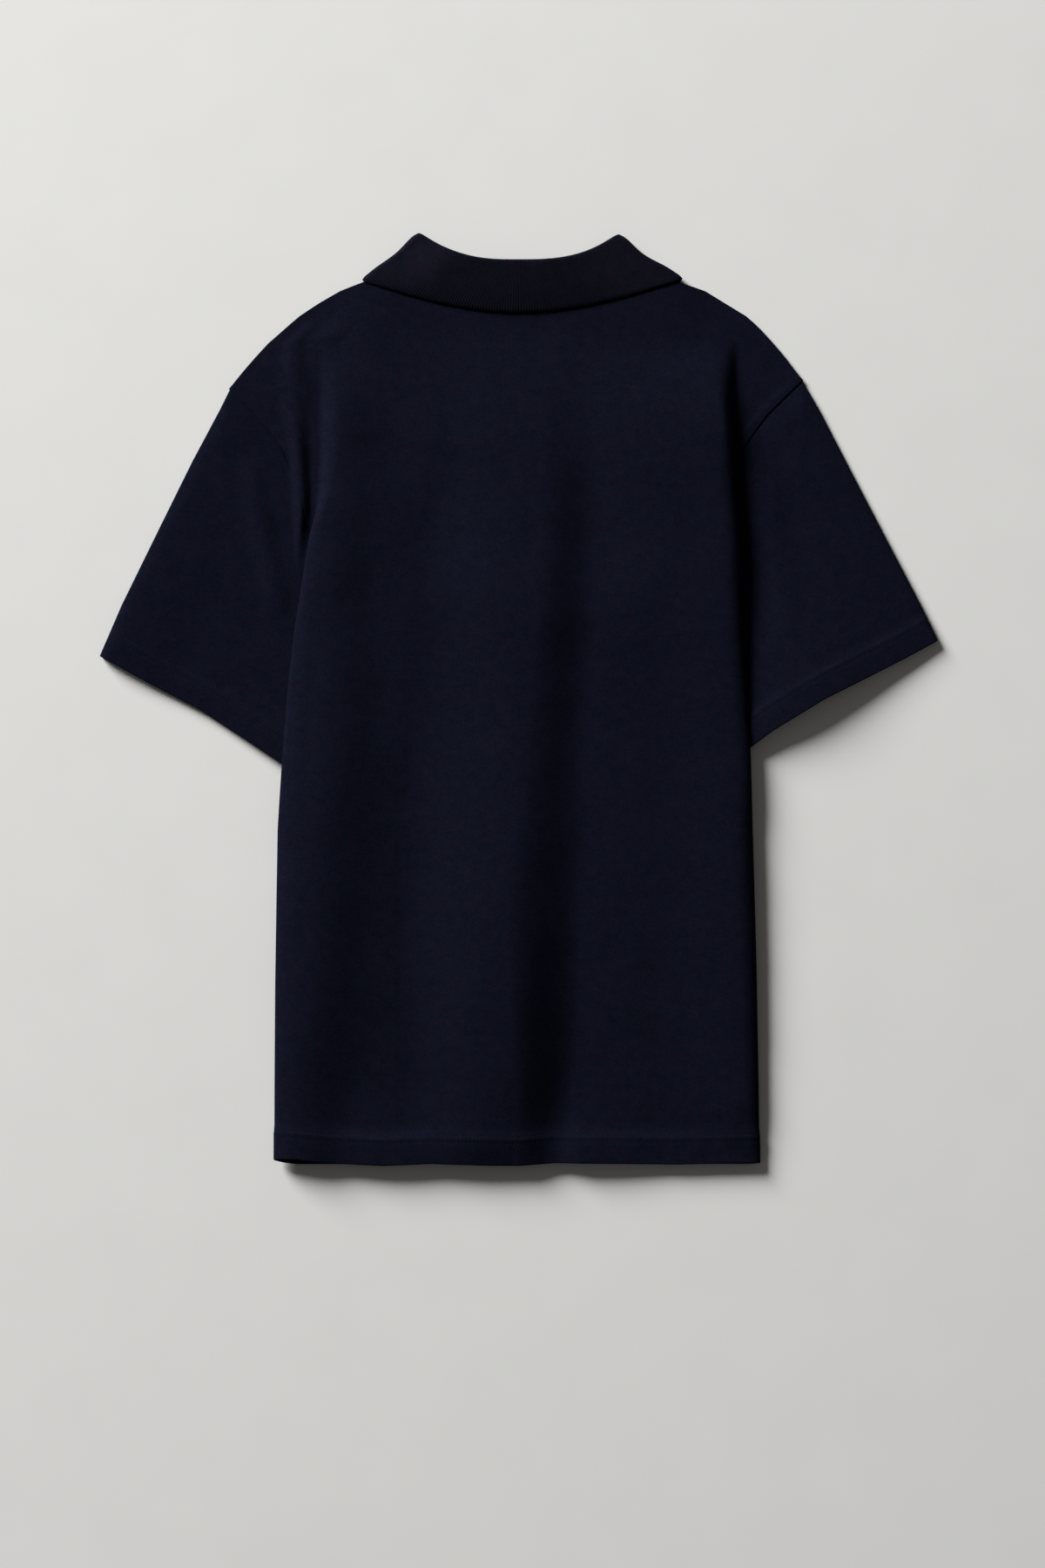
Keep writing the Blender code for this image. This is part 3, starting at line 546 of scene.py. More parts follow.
class FoldedRow:
    """One half of a row: the middle of the two layers, from the centre line out."""

    def __init__(self, body: LaidBody, side: Side, y: float) -> None:
        """Work out where the row rolls under and where it ends.

        Args:
            body: The body that the row belongs to.
            side: Side of the shirt.
            y: The row.
        """
        self.body, self.side, self.y = body, side, y
        fold, end = body.side_fold[side], body.panel_end[side]
        self.cloth = float(body.thickness(y))
        self.floor = self.cloth + body.layer_gap / 2
        self.turn = math.radians(float(fold.at(y, "turn")))
        self.turn_back = min(math.radians(float(end.at(y, "turn_back"))), self.turn)
        self.edge = float(fold.at(y, "edge"))
        self.seam = float(end.at(y, "seam"))
        self.roll_length = body.roll_length * (
            1 - body.hem_press[side] * (1 - float(smoothstep(y, *body.pressed_rows)))
        )
        self.roll_radius = self.roll_length / self.turn
        self.roll_extra = body.roll_extra[side] * float(smoothstep(self.turn, *body.wide_turns))
        reach = min(self.roll_radius, self.roll_length / QUARTER_TURN) + self.roll_extra
        self.crest_x = self.edge - body.rest - reach
        self.flap = max(body.least_flap, self.crest_x - float(end.at(y, "flap_end")))
        self.lift = body.flap_lift(y)
        rise = self.lift / 2 * (1 - math.cos(self.turn)) * HALF_TURN / self.turn
        below = self.floor + rise + self.flap * math.sin(self.turn)
        level = self.floor + body.top_lift(side, y) + 2 * self.roll_length / HALF_TURN
        self.crest = below + self.roll_radius * (1 - math.cos(self.turn))
        if self.turn > QUARTER_TURN and level > self.crest:
            wider = (level - below) / (1 - math.cos(self.turn)) - self.roll_radius
            self.roll_radius += wider
            self.crest_x -= wider
            self.flap = max(body.least_flap, self.flap - wider)
            self.crest = level
        raised = body.under_sleeve * float(smoothstep(y, *body.top_rows))
        self.over_flap = self.floor + raised + 2 * self.cloth + body.layer_gap + body.seam_gap
        low_end, high_end = body.ramp_ends
        self.ramp_end = low_end + (high_end - low_end) * float(smoothstep(y, *body.ramp_rows))
        self.width = float(body.crest_width[side].at(y, "width"))

    def span_height(self, distance: np.ndarray) -> np.ndarray:
        """Height of the middle surface on top of the shirt.

        Args:
            distance: Distances from the centre line.

        Returns:
            Height at each distance.
        """
        body = self.body
        low = self.floor + body.neck_lift(distance, self.y)
        stacked = 1 - smoothstep(self.y, *body.stack_rows[self.side])
        ramp = smoothstep(distance, self.ramp_end - body.ramp[self.side], self.ramp_end)
        base = low + np.maximum(self.over_flap - low, 0.0) * ramp * stacked
        crest = (self.crest - base) * np.exp(-(((self.crest_x - distance) / self.width) ** 2))
        soft = body.soft_height(self.side.value * distance, self.y)
        return base + np.maximum(crest, 0.0) * smoothstep(distance, *body.crest_reach) + soft

    def points(self, start: float) -> np.ndarray:
        """Middle line of the row: span, roll, flap, turn and the way out to the seam.

        Args:
            start: Distance of the first point from the centre line.

        Returns:
            (distance, height) pairs.
        """
        body = self.body
        inner = np.linspace(start, self.ramp_end, body.span_steps + 1)
        outer = np.linspace(self.ramp_end, self.crest_x, body.outer_steps + 1)[1:]
        distance = np.concatenate((inner, outer))
        parts = [np.stack((distance, self.span_height(distance)), axis=1)]

        angle = self.turn * np.arange(1, body.roll_steps + 1) / body.roll_steps
        last = parts[-1][-1]
        radii = np.array((self.roll_radius + self.roll_extra, self.roll_radius))
        power = 1 + (body.roll_power[self.side] - 1) * float(smoothstep(self.turn, *body.full_turns))
        upper = angle < QUARTER_TURN
        out = np.where(upper, np.sin(angle) ** power, np.sin(angle))
        fall = np.where(upper, np.abs(np.cos(angle)) ** power, np.cos(angle)) - 1
        roll = np.stack((out, fall), axis=1) * radii
        parts.append(last + roll)

        along = np.array((math.cos(self.turn), -math.sin(self.turn)))
        share = np.arange(1, body.flap_steps + 1)[:, None] / body.flap_steps
        parts.append(parts[-1][-1] + share * self.flap * along)

        back = max(self.turn_back, LEAST_ANGLE)
        radius = body.turn_length / back
        if self.turn > HALF_TURN - LEAST_ANGLE and self.lift > 0:
            radius = min(radius, self.lift / (1 - math.cos(back)))
        angle = self.turn - back * np.arange(1, body.turn_steps + 1) / body.turn_steps
        across, down = math.sin(self.turn) - np.sin(angle), math.cos(self.turn) - np.cos(angle)
        turned = np.stack((across, down), axis=1)
        parts.append(parts[-1][-1] + turned * radius)

        parts.append(self.way_out(parts[-1][-1], back))
        return np.concatenate(parts)

    def way_out(self, last: np.ndarray, back: float) -> np.ndarray:
        """The last stretch, from the turn to the seam.

        Args:
            last: End of the turn, as (distance, height).
            back: How far the cloth has turned back, in radians.

        Returns:
            (distance, height) pairs.
        """
        body = self.body
        share = np.sin(QUARTER_TURN * np.arange(1, body.sleeve_steps + 1) / body.sleeve_steps)
        if self.turn - self.turn_back < LEAST_ANGLE:
            end = max(self.seam, last[0] + body.least_out)
            distance = last[0] + share * (end - last[0])
            sign = self.side.value
            added = body.crease_height(sign * distance, self.y)
            added = added - body.crease_height(sign * last[0], self.y)
            settle = share * (self.floor - last[1]) if last[1] > self.floor else 0.0
            return np.stack((distance, last[1] + added + settle), axis=1)
        heading = self.turn - back
        along = np.array((math.cos(heading), -math.sin(heading)))
        return last + share[:, None] * body.least_flap * along


def unit(vectors: np.ndarray) -> np.ndarray:
    """Scale vectors to length 1."""
    return vectors / np.maximum(np.linalg.norm(vectors, axis=-1, keepdims=True), LEAST_LENGTH)


def normals_of(points: np.ndarray) -> np.ndarray:
    """Unit normals of a polyline, to the left of its run from the centre out."""
    steps = unit(np.diff(points, axis=0))
    run = unit(np.concatenate((steps[:1], steps[:-1] + steps[1:], steps[-1:])))
    return np.stack((-run[:, 1], run[:, 0]), axis=1)


def make_object(
    name: str, points: np.ndarray, faces: list[tuple[int, ...]], material: bpy.types.Material
) -> bpy.types.Object:
    """Make a smooth-shaded mesh object.

    Args:
        name: Name of the piece.
        points: Its points, in millimetres.
        faces: Its faces, as lists of point numbers.
        material: Its finish.

    Returns:
        The object, riding on the shirt's one body, no point of it below the floor.
    """
    mesh = bpy.data.meshes.new(name)
    placed = np.array(points, float)
    placed[:, 2] = np.maximum(placed[:, 2], 0.0)
    mesh.from_pydata((placed * MM).tolist(), [], faces)
    shaped = bmesh.new()
    shaped.from_mesh(mesh)
    bmesh.ops.recalc_face_normals(shaped, faces=shaped.faces)
    shaped.to_mesh(mesh)
    shaped.free()
    mesh.shade_smooth()
    mesh.materials.append(material)
    made = bpy.data.objects.new(name, mesh)
    bpy.context.scene.collection.objects.link(made)
    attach(made, "root")
    return made


class Shell:
    """A wall between matching outer and inner points, closed along its free edges."""

    def __init__(self) -> None:
        """Start with no points."""
        self.outer: list[np.ndarray] = []
        self.inner: list[np.ndarray] = []
        self.quads: list[tuple[int, ...]] = []
        self.known: dict[tuple, int] = {}

    def add_points(self, outer: np.ndarray, inner: np.ndarray) -> list[int]:
        """Add a row of pairs, each pair once.

        Args:
            outer: Points on one face of the cloth.
            inner: The same on its other face.

        Returns:
            Number of each pair.
        """
        found = []
        for key, out, into in zip(np.round(np.hstack((outer, inner)), 3).tolist(), outer, inner):
            number = self.known.setdefault(tuple(key), len(self.outer))
            if number == len(self.outer):
                self.outer.append(out)
                self.inner.append(into)
            found.append(number)
        return found

    def grid(self, outer: np.ndarray, inner: np.ndarray, wrap: bool = False) -> None:
        """Add the quads of two matching grids of points.

        Args:
            outer: Rows of points on one face of the cloth.
            inner: The same on its other face.
            wrap: Whether each row closes on itself.
        """
        index = [self.add_points(out, into) for out, into in zip(outer, inner)]
        for low, high in zip(index, index[1:]):
            for j in range(len(low) if wrap else len(low) - 1):
                k = (j + 1) % len(low)
                quad = tuple(dict.fromkeys((low[j], low[k], high[k], high[j])))
                if len(quad) > 2:
                    self.quads.append(quad)

    def make(self, name: str, material: bpy.types.Material) -> bpy.types.Object:
        """Make the object, with walls along every edge that only one quad uses.

        Args:
            name: Name of the piece.
            material: Its finish.

        Returns:
            The object.
        """
        count = len(self.outer)
        faces = list(self.quads)
        faces += [tuple(i + count for i in reversed(quad)) for quad in self.quads]
        uses: dict[frozenset[int], list[tuple[int, int]]] = {}
        for quad in self.quads:
            for pair in zip(quad, quad[1:] + quad[:1]):
                uses.setdefault(frozenset(pair), []).append(pair)
        free = [pairs[0] for pairs in uses.values() if len(pairs) == 1]
        faces += [(b, a, a + count, b + count) for a, b in free]
        return make_object(name, np.array(self.outer + self.inner), faces, material)


@dataclass(frozen=True)
class TwinStitch:
    """Sizes of the twin-needle sewing that holds a hem."""

    lower: float = 17.8
    upper: float = 23.2
    pitch: float = 3.1
    stitch: float = 2.0
    width: float = 0.5
    groove: float = 0.13
    groove_width: float = 1.4
    swell: float = 0.1
    swell_width: float = 2.4
    row_steps: tuple[float, ...] = (-1.4, -0.8, -0.35, 0.0, 0.35, 0.8, 1.4)
    rings: tuple[Pair, ...] = ((-0.5, 0.25), (-0.34, 0.85), (0.0, 1.0), (0.34, 0.85), (0.5, 0.25))
    sides: int = 6
    flatness: float = 2.6
    clear: float = 0.05
    look_ahead: float = 0.6

    def rows(self) -> Pair:
        """Distances of the two rows from the hem's edge."""
        return (self.lower, self.upper)

    def near(self) -> list[float]:
        """Distances from the edge at which a mesh needs rows to show both grooves."""
        return [row + step for row in self.rows() for step in self.row_steps]

    def sunk(self, distance: np.ndarray | float) -> np.ndarray:
        """Work out how far the sewing pulls the cloth in.

        Args:
            distance: Distance from the edge.

        Returns:
            Depth of the groove there.
        """
        distance = np.asarray(distance, float)
        pulled = sum(hump(distance - row, self.groove_width) for row in self.rows())
        between = hump(distance - (self.lower + self.upper) / 2, self.swell_width)
        return self.groove * (pulled - self.swell * between)


def read_along(along: np.ndarray, values: np.ndarray, places: np.ndarray) -> np.ndarray:
    """Read an array of points at places along the path that they belong to."""
    return np.stack([np.interp(places, along, values[:, k]) for k in range(3)], axis=1)


def sew(
    name: str, paths: list[StitchPath], sizes: TwinStitch, thread: bpy.types.Material
) -> bpy.types.Object:
    """Lay separate stitches along paths.

    Args:
        name: Name of the piece.
        paths: Pairs of matching arrays: points on the cloth, and the cloth's normals there.
        sizes: Sizes of the stitches.
        thread: Finish of the thread.

    Returns:
        One object with all the stitches.
    """
    sides, rings = sizes.sides, sizes.rings
    turns = 2 * HALF_TURN * np.arange(sides) / sides
    points, faces = [], []
    for path, normals in paths:
        steps = np.linalg.norm(np.diff(path, axis=0), axis=1)
        along = np.concatenate(([0.0], np.cumsum(steps)))
        middles = np.arange(sizes.pitch / 2, along[-1], sizes.pitch)
        centre = read_along(along, path, middles)
        up = unit(read_along(along, normals, middles))
        after = read_along(along, path, middles + sizes.look_ahead)
        run = unit(after - read_along(along, path, middles - sizes.look_ahead))
        across = unit(np.cross(up, run))
        for c, u, r, a in zip(centre, up, run, across):
            base = len(points)
            for along_share, size in rings:
                middle = c + r * along_share * sizes.stitch + u * sizes.clear
                for turn in turns:
                    offset = a * math.cos(turn) * sizes.width / 2
                    offset = offset + u * math.sin(turn) * sizes.width / sizes.flatness
                    points.append(middle + offset * size)
            for ring in range(len(rings) - 1):
                for side in range(sides):
                    near, far = base + ring * sides, base + (ring + 1) * sides
                    following = (side + 1) % sides
                    faces.append((near + side, near + following, far + following, far + side))
            faces.append(tuple(range(base, base + sides)))
            top = base + (len(rings) - 1) * sides
            faces.append(tuple(range(top + sides - 1, top - 1, -1)))
    return make_object(name, np.array(points), faces, thread)


@dataclass
class BodyPanel:
    """One body panel, from its hem to its neck edge."""

    panel: Panel
    body: LaidBody
    neck_drop: float
    row_step: float = 5.5
    neck_rows: int = 22
    top_row: float = 350.0
    armhole_raise: dict[Side, float] = field(default_factory=lambda: {Side.LEFT: 0.0, Side.RIGHT: 0.75})
    armhole_width: float = 8.5
    armhole_fall: float = 2.5
    armhole_rows: Pair = (74.0, 262.0)
    armhole_fade: float = 16.0
    fixed_rows: tuple[float, ...] = (58.0, 62.0, 67.0, 72.0, 80.0, 248.5, 255.5)
    least_step: float = 0.1
    sewing: TwinStitch = field(default_factory=TwinStitch)
    stitch_paths: list[StitchPath] = field(default_factory=list)

    def rows(self) -> list[float]:
        """Lay out the rows of the mesh, closer together where the shape needs it.

        Returns:
            Their places along Y, from the hem up.
        """
        body = self.body
        low = [body.hem_y + step for step in (*EDGE_ROWS, *self.sewing.near())]
        low += [body.hem_y + step for step in (body.hem_depth, *ROWS_ABOVE_HEM)]
        neck_low = body.neck_point_y - self.neck_drop
        start = low[-1] + self.row_step
        plain = list(np.arange(start, min(neck_low, body.shoulder_row) - 2, self.row_step))
        angles = np.linspace(0.0, QUARTER_TURN, self.neck_rows + 1)
        neck = [body.neck_point_y - self.neck_drop * math.cos(angle) for angle in angles]
        shoulder = list(np.arange(body.shoulder_row, self.top_row, self.row_step))
        found = low + plain + list(self.fixed_rows) + shoulder
        found = [y for y in found if y < neck_low or self.panel is Panel.FRONT]
        found = sorted({round(float(y), 3) for y in found + neck if y < self.top_row} | {self.top_row})
        kept = [found[0]]
        for y in found[1:]:
            if y - kept[-1] > self.least_step:
                kept.append(y)
        return kept

    def neck_start(self, y: float) -> float:
        """Distance of the neck edge from the centre line at y, 0 below the neck."""
        part = (self.body.neck_point_y - y) / self.neck_drop
        return self.body.neck_half_width * math.sqrt(max(0.0, 1 - part * part))

    def half(self, side: Side) -> tuple[np.ndarray, np.ndarray]:
        """Outer and inner points of one half of the panel.

        Args:
            side: Side of the shirt.

        Returns:
            Two grids of points, rows along Y.
        """
        body, above = self.body, self.panel.value
        sewn = {round(body.hem_y + row, 3) for row in self.sewing.rows()}
        outer, inner = [], []
        for y in self.rows():
            start = self.neck_start(y)
            points = body.points(side, y, start)
            if self.panel is Panel.BACK:
                top = np.arange(len(points)) <= body.roll_start
                loft = body.back_loft(points[:, 0], y) * top
                points = points + np.stack((0 * points[:, 0], loft), axis=1)
            normals = normals_of(points)
            thickness = float(body.thickness(y))
            edge = arc_from_end(points)
            thick = rounding(edge, thickness) * rounding(np.float64(y - body.hem_y), thickness)
            if start > 0:
                from_neck = edge[0] - edge
                thick = thick * rounding(from_neck, thickness)
            centre = body.layer_gap / 2 + thickness / 2
            raised = 0.0
            first, last = self.armhole_rows
            if first < y < last:
                fade = smoothstep(y, first, first + self.armhole_fade)
                flat = smoothstep(edge, self.armhole_width, self.armhole_width + self.armhole_fall)
                raised = self.armhole_raise[side] * fade * (1 - flat)
            sunk = float(self.sewing.sunk(y - body.hem_y))
            out = centre + thickness / 2 * thick + (raised - sunk) * np.minimum(thick, 1.0)
            into = centre - thickness / 2 * thick
            shift = body.hem_shift(side, y, points[:, 0])
            for grid, offset in ((outer, out), (inner, into)):
                moved = points + normals * (offset * above)[:, None]
                if start == 0.0:
                    moved[0] = points[0] + np.array((0.0, offset[0] * above))
                moved[:, 1] = np.maximum(moved[:, 1], 0.0)
                grid.append(np.stack((side.value * moved[:, 0], y + shift, moved[:, 1]), axis=1))
            if round(y, 3) in sewn:
                level = np.zeros(len(normals))
                up = np.stack((side.value * normals[:, 0], level, normals[:, 1]), axis=1)
                self.stitch_paths.append((outer[-1][::-1], up[::-1] * above))
        return np.array(outer), np.array(inner)

    def build(self, material: bpy.types.Material) -> bpy.types.Object:
        """Build the panel as one closed wall of cloth.

        Args:
            material: Finish of the cloth.

        Returns:
            The panel, standing for its node.
        """
        shell = Shell()
        for side in Side:
            shell.grid(*self.half(side))
        made = shell.make(self.panel.name.lower() + "_panel", material)
        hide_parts(self.panel.name.lower())
        return made


@dataclass
class Sleeve:
    """A short set-in sleeve lying flat, with its hem as an open mouth."""

    side: Side
    body: LaidBody
    hem: float = 19.6
    hem_end: float = 1.5
    tuck: float = 0.9
    underarm_row: float = 74.0
    # End at the armhole: how round it is, and how far it sinks under the panel.
    arm_round: dict[Side, float] = field(default_factory=lambda: {Side.LEFT: 3.0, Side.RIGHT: 0.4})
    arm_sink: dict[Side, float] = field(default_factory=lambda: {Side.LEFT: 0.05, Side.RIGHT: 0.0})
    sink_fade: Pair = (1.0, 6.0)
    seam_fade: Pair = (0.0, 0.05)
    # Soft rise of the upper layer beside the outer edge.
    rim_rise: Pair = (0.0, 8.0)
    rim_fall: Pair = (9.0, 70.0)
    rim_start: Pair = (0.0, 16.0)
    # Open mouth: where its lift starts, and how far its shape is smoothed.
    mouth_start: Pair = (0.25, 1.0)
    mouth_blur: float = 0.09
    mouth_samples: int = 7
    # Points of the mesh along the sleeve, across it and round its two ends.
    long_steps: int = 58
    across_steps: int = 64
    end_steps: int = 5
    # Share of the wall's offset from which the sewing's normals are taken.
    normal_core: float = 0.2
    stitch_paths: list[StitchPath] = field(default_factory=list)
    mouth: Table = field(default_factory=lambda: Table("share lift", (0, 0), (1, 0)))
    rim_lift: dict[Side, Pair] = field(
        default_factory=lambda: {Side.LEFT: (1.2, 1.2), Side.RIGHT: (1.1, 0.3)}
    )
    sewing: TwinStitch = field(default_factory=lambda: TwinStitch(lower=17.4, upper=22.8))
    outer_edge: dict[Side, tuple] = field(
        default_factory=lambda: {
            Side.LEFT: (
                (233.1, 248.5), (240.1, 232.4), (262.5, 190.4), (288.4, 137.9), (319.2, 74.9), (336.7, 35.0),
            ),
            Side.RIGHT: (
                (228.2, 255.5), (240.8, 232.4), (262.5, 190.4), (289.8, 137.9), (322.7, 74.9), (337.4, 45.5),
            ),
        }
    )
    cuff: dict[Side, tuple] = field(
        default_factory=lambda: {
            Side.LEFT: (
                (336.7, 34.0), (296.8, 11.9), (256.2, -9.1), (224.0, -30.1), (192.5, -51.1), (176.5, -60.5),
            ),
            Side.RIGHT: (
                (336.4, 46.5), (312.9, 33.6), (278.6, 16.1), (245.0, -0.7), (203.7, -25.9), (172.3, -49.5),
            ),
        }
    )

    def __post_init__(self) -> None:
        """Work out the four edges of the flat sleeve."""
        edge = np.array(self.outer_edge[self.side], float)
        self.cuff_line = np.array(self.cuff[self.side], float)
        rows = np.linspace(edge[0, 1], self.underarm_row, self.across_steps + 1)
        reach = [self.body.seam_distance(self.side, y) - self.tuck for y in rows]
        self.armhole = np.stack((reach, rows), axis=1)
        steps = np.linalg.norm(np.diff(self.armhole, axis=0), axis=1)
        self.shares = np.concatenate(([0.0], np.cumsum(steps) / steps.sum()))
        edge[0], edge[-1] = self.armhole[0], self.cuff_line[0]
        self.edge = edge
        self.underarm = np.array((self.armhole[-1], self.cuff_line[-1]))

    def along(self, a: np.ndarray, b: np.ndarray) -> np.ndarray:
        """Points of the flat sleeve.

        Args:
            a: Shares of the way from the armhole to the cuff.
            b: Shares of the way from the outer edge to the underarm.

        Returns:
            (distance, y) of each point.
        """
        arm, cuff = polyline_at(self.armhole, b), polyline_at(self.cuff_line, b)
        top, under = polyline_at(self.edge, a), polyline_at(self.underarm, a)
        a, b = a[..., None], b[..., None]
        corners = (
            (1 - a) * (1 - b) * self.armhole[0]
            + (1 - a) * b * self.armhole[-1]
            + a * (1 - b) * self.cuff_line[0]
            + a * b * self.cuff_line[-1]
        )
        return (1 - a) * arm + a * cuff + (1 - b) * top + b * under - corners

    def distances(self) -> list[float]:
        """Distances of the mesh's low rows from the cuff's edge, in rising order."""
        near = (*EDGE_ROWS, *self.sewing.near(), self.hem + self.hem_end, *ROWS_ABOVE_HEM)
        return sorted({round(d, 3) for d in near})

    def rim(self, a: float, from_outer: np.ndarray) -> np.ndarray:
        """Lift of the upper layer beside its outer edge, where the cloth turns round softly.

        Args:
            a: Share of the way from the armhole to the cuff.
            from_outer: Distances from the outer edge.

        Returns:
            The lift at each distance.
        """
        inner, outer = self.rim_lift[self.side]
        high = inner + (outer - inner) * a
        fall = 1 - smoothstep(from_outer, *self.rim_fall)
        return high * smoothstep(from_outer, *self.rim_rise) * fall

    def arch(self, a: np.ndarray, b: np.ndarray) -> np.ndarray:
        """How far the mouth stands open: the lift of the upper layer.

        Args:
            a: Shares of the way from the armhole to the cuff.
            b: Shares of the way across.

        Returns:
            The lift at each point.
        """
        kernel = np.linspace(-self.mouth_blur, self.mouth_blur, self.mouth_samples)
        lift = np.mean([self.mouth.at(b + step, "lift") for step in kernel], axis=0)
        return lift * smoothstep(a, *self.mouth_start)

    def build(self, material: bpy.types.Material) -> bpy.types.Object:
        """Build the sleeve as one closed wall of cloth.

        Args:
            material: Finish of the cloth.

        Returns:
            The sleeve, standing for its node.
        """
        body, shares = self.body, self.shares
        ends = [self.along(np.full(len(shares), end), shares) for end in (1.0, 0.0)]
        length = np.linalg.norm(ends[0] - ends[1], axis=1)
        near = self.distances()
        plain = np.linspace(0.0, 1.0, self.long_steps, endpoint=False)
        rows = [(part * (1 - near[-1] / length), None) for part in plain]
        rows += [(1 - d / length, d) for d in reversed(near)]
        sewn = {round(row, 3) for row in self.sewing.rows()}
        outer, inner = [], []
        for a, distance in rows:
            plan = self.along(a, shares)
            from_edge = math.inf if distance is None else distance
            thickness = float(body.thickness(body.hem_y + from_edge * body.hem_depth / self.hem))
            x, y = self.side.value * plan[:, 0], plan[:, 1]
            floor = thickness + body.layer_gap / 2
            low = np.stack((x, y, np.full(len(x), floor)), axis=1)
            top = low.copy()
            seam_soft = body.soft_height(x, y) * smoothstep(a, *self.seam_fade)
            from_arm = float(np.mean(a * length))
            sunk_arm = self.arm_sink[self.side] * (1 - float(smoothstep(from_arm, *self.sink_fade)))
            across = np.linalg.norm(plan - plan[0], axis=1)
            top[:, 2] += body.crease_height(x, y) + seam_soft + self.arch(a, shares) - sunk_arm
            started = float(smoothstep(from_arm, *self.rim_start))
            top[:, 2] += self.rim(float(np.mean(a)), across) * started
            free = min(from_edge, from_arm + self.arm_round[self.side])
            thick = float(rounding(np.float64(free), thickness))
            sunk = float(self.sewing.sunk(from_edge))
            middle = body.layer_gap / 2 + thickness / 2
            out = middle + thickness / 2 * thick - sunk
            into = middle - thickness / 2 * thick
            outer.append(self.ring(top, low, floor, out))
            inner.append(self.ring(top, low, floor, into))
            if distance is not None and round(distance, 3) in sewn:
                self.stitch_paths.append(self.seam_path(top, low, floor, out))
        shell = Shell()
        shell.grid(np.array(outer), np.array(inner), wrap=True)
        name = self.side.name.lower()
        made = shell.make(f"sleeve_cloth_{name}", material)
        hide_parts(f"sleeve_{name}")
        return made

    def ring(self, top: np.ndarray, low: np.ndarray, inset: float, offset: float) -> np.ndarray:
        """Closed loop round the sleeve: over the top, round the underarm, back below.

        Args:
            top: Middle line of the upper layer, from the outer edge to the underarm.
            low: Middle line of the lower layer.
            inset: How far the two ends are drawn in.
            offset: Distance of the loop from the middle line.

        Returns:
            The points of the loop.
        """
        top, low = top.copy(), low.copy()
        loops = []
        for end, beside in ((0, 1), (-1, -2)):
            outward = unit(low[end] - low[beside])
            for line in (top, low):
                line[end] = line[end] - outward * inset
            middle = (top[end] + low[end]) / 2
            angles = HALF_TURN * np.arange(1, self.end_steps + 1) / (self.end_steps + 1)
            lift = np.array((0.0, 0.0, 1.0))
            half = (top[end] - low[end]) / 2 + lift * offset
            loops.append([middle + half * math.cos(t) + outward * offset * math.sin(t) for t in angles])
        up = np.array((0.0, 0.0, offset))
        down_side = np.array(loops[1])
        up_side = np.array(loops[0])[::-1]
        return np.concatenate((top + up, down_side, (low - up)[::-1], up_side))

    def seam_path(self, top: np.ndarray, low: np.ndarray, inset: float, offset: float) -> StitchPath:
        """Path of one row of sewing round the mouth, with the cloth's normals.

        Args:
            top: Middle line of the upper layer.
            low: Middle line of the lower layer.
            inset: How far the two ends are drawn in.
            offset: Distance of the sewing from the middle line.

        Returns:
            The closed path and the normals along it.
        """
        loop = self.ring(top, low, inset, offset)
        core = self.ring(top, low, inset, offset * self.normal_core)
        loop, core = np.vstack((loop, loop[:1])), np.vstack((core, core[:1]))
        return loop, unit(loop - core)


def polyline_at(points: np.ndarray, share: np.ndarray) -> np.ndarray:
    """Points at shares of a polyline's length.

    Args:
        points: The polyline.
        share: Shares from 0 to 1.

    Returns:
        One point for each share.
    """
    lengths = np.concatenate(([0.0], np.cumsum(np.linalg.norm(np.diff(points, axis=0), axis=1))))
    at = np.asarray(share) * lengths[-1]
    return np.stack([np.interp(at, lengths, points[:, k]) for k in range(points.shape[1])], axis=-1)


def bezier(start: tuple, pull: tuple, end: tuple, share: np.ndarray) -> np.ndarray:
    """Points of a curve from start to end that bends towards pull."""
    start, pull, end = (np.array(p, float) for p in (start, pull, end))
    share = np.asarray(share, float)[..., None]
    return (1 - share) ** 2 * start + 2 * share * (1 - share) * pull + share**2 * end


def rising(end: Pair, low: float, power: float, share: np.ndarray) -> np.ndarray:
    """Points of a curve from the centre line, at height low along Y, up to end."""
    return np.stack((end[0] * share, low + (end[1] - low) * share**power), axis=-1)


class CollarLine:
    """One line along half the collar, from the centre back round a side to its front end."""

    def __init__(self, back: Curve, front: Curve, outward: Pair, heights: Pair, reach: float) -> None:
        """Keep the line's two curves.

        Args:
            back: Gives the plan of the back part at shares of its length.
            front: The same for the front part.
            outward: Direction in which the line turns at the side.
            heights: Height of the back part and of the front part.
            reach: How far the turn stays inside the corner.
        """
        self.back, self.front, self.reach = back, front, reach
        self.outward = unit(np.array(outward, float))
        self.back_z, self.front_z = heights
        self.radius = (self.back_z - self.front_z) / 2

    def crease(self, angle: np.ndarray) -> np.ndarray:
        """Points on the half circle that turns the line from the back to the front.

        Args:
            angle: Angles round it, 0 at the back.

        Returns:
            Point at each angle.
        """
        angle = np.asarray(angle, float)
        inward = (self.reach + self.radius * (1 - np.sin(angle)))[..., None]
        plan = self.back(np.array(1.0)) - self.outward * inward
        height = (self.back_z + self.front_z) / 2 + self.radius * np.cos(angle)
        return np.concatenate((plan, height[..., None]), axis=-1)

    def at(self, part: str, share: np.ndarray) -> np.ndarray:
        """Points of one part of the line.

        Args:
            part: "back", "crease" or "front".
            share: Shares of the part.

        Returns:
            One point for each share.
        """
        share = np.asarray(share, float)
        if part == "crease":
            return self.crease(share * HALF_TURN)
        turn = self.crease(np.array(0.0))[:2] - self.back(np.array(1.0))
        if part == "back":
            plan, height = self.back(share) + turn * share[..., None] ** LATE_TURN, self.back_z
        else:
            plan, height = self.front(share) + turn * (1 - share[..., None]) ** LATE_TURN, self.front_z
        return np.concatenate((plan, np.full(share.shape + (1,), height)), axis=-1)


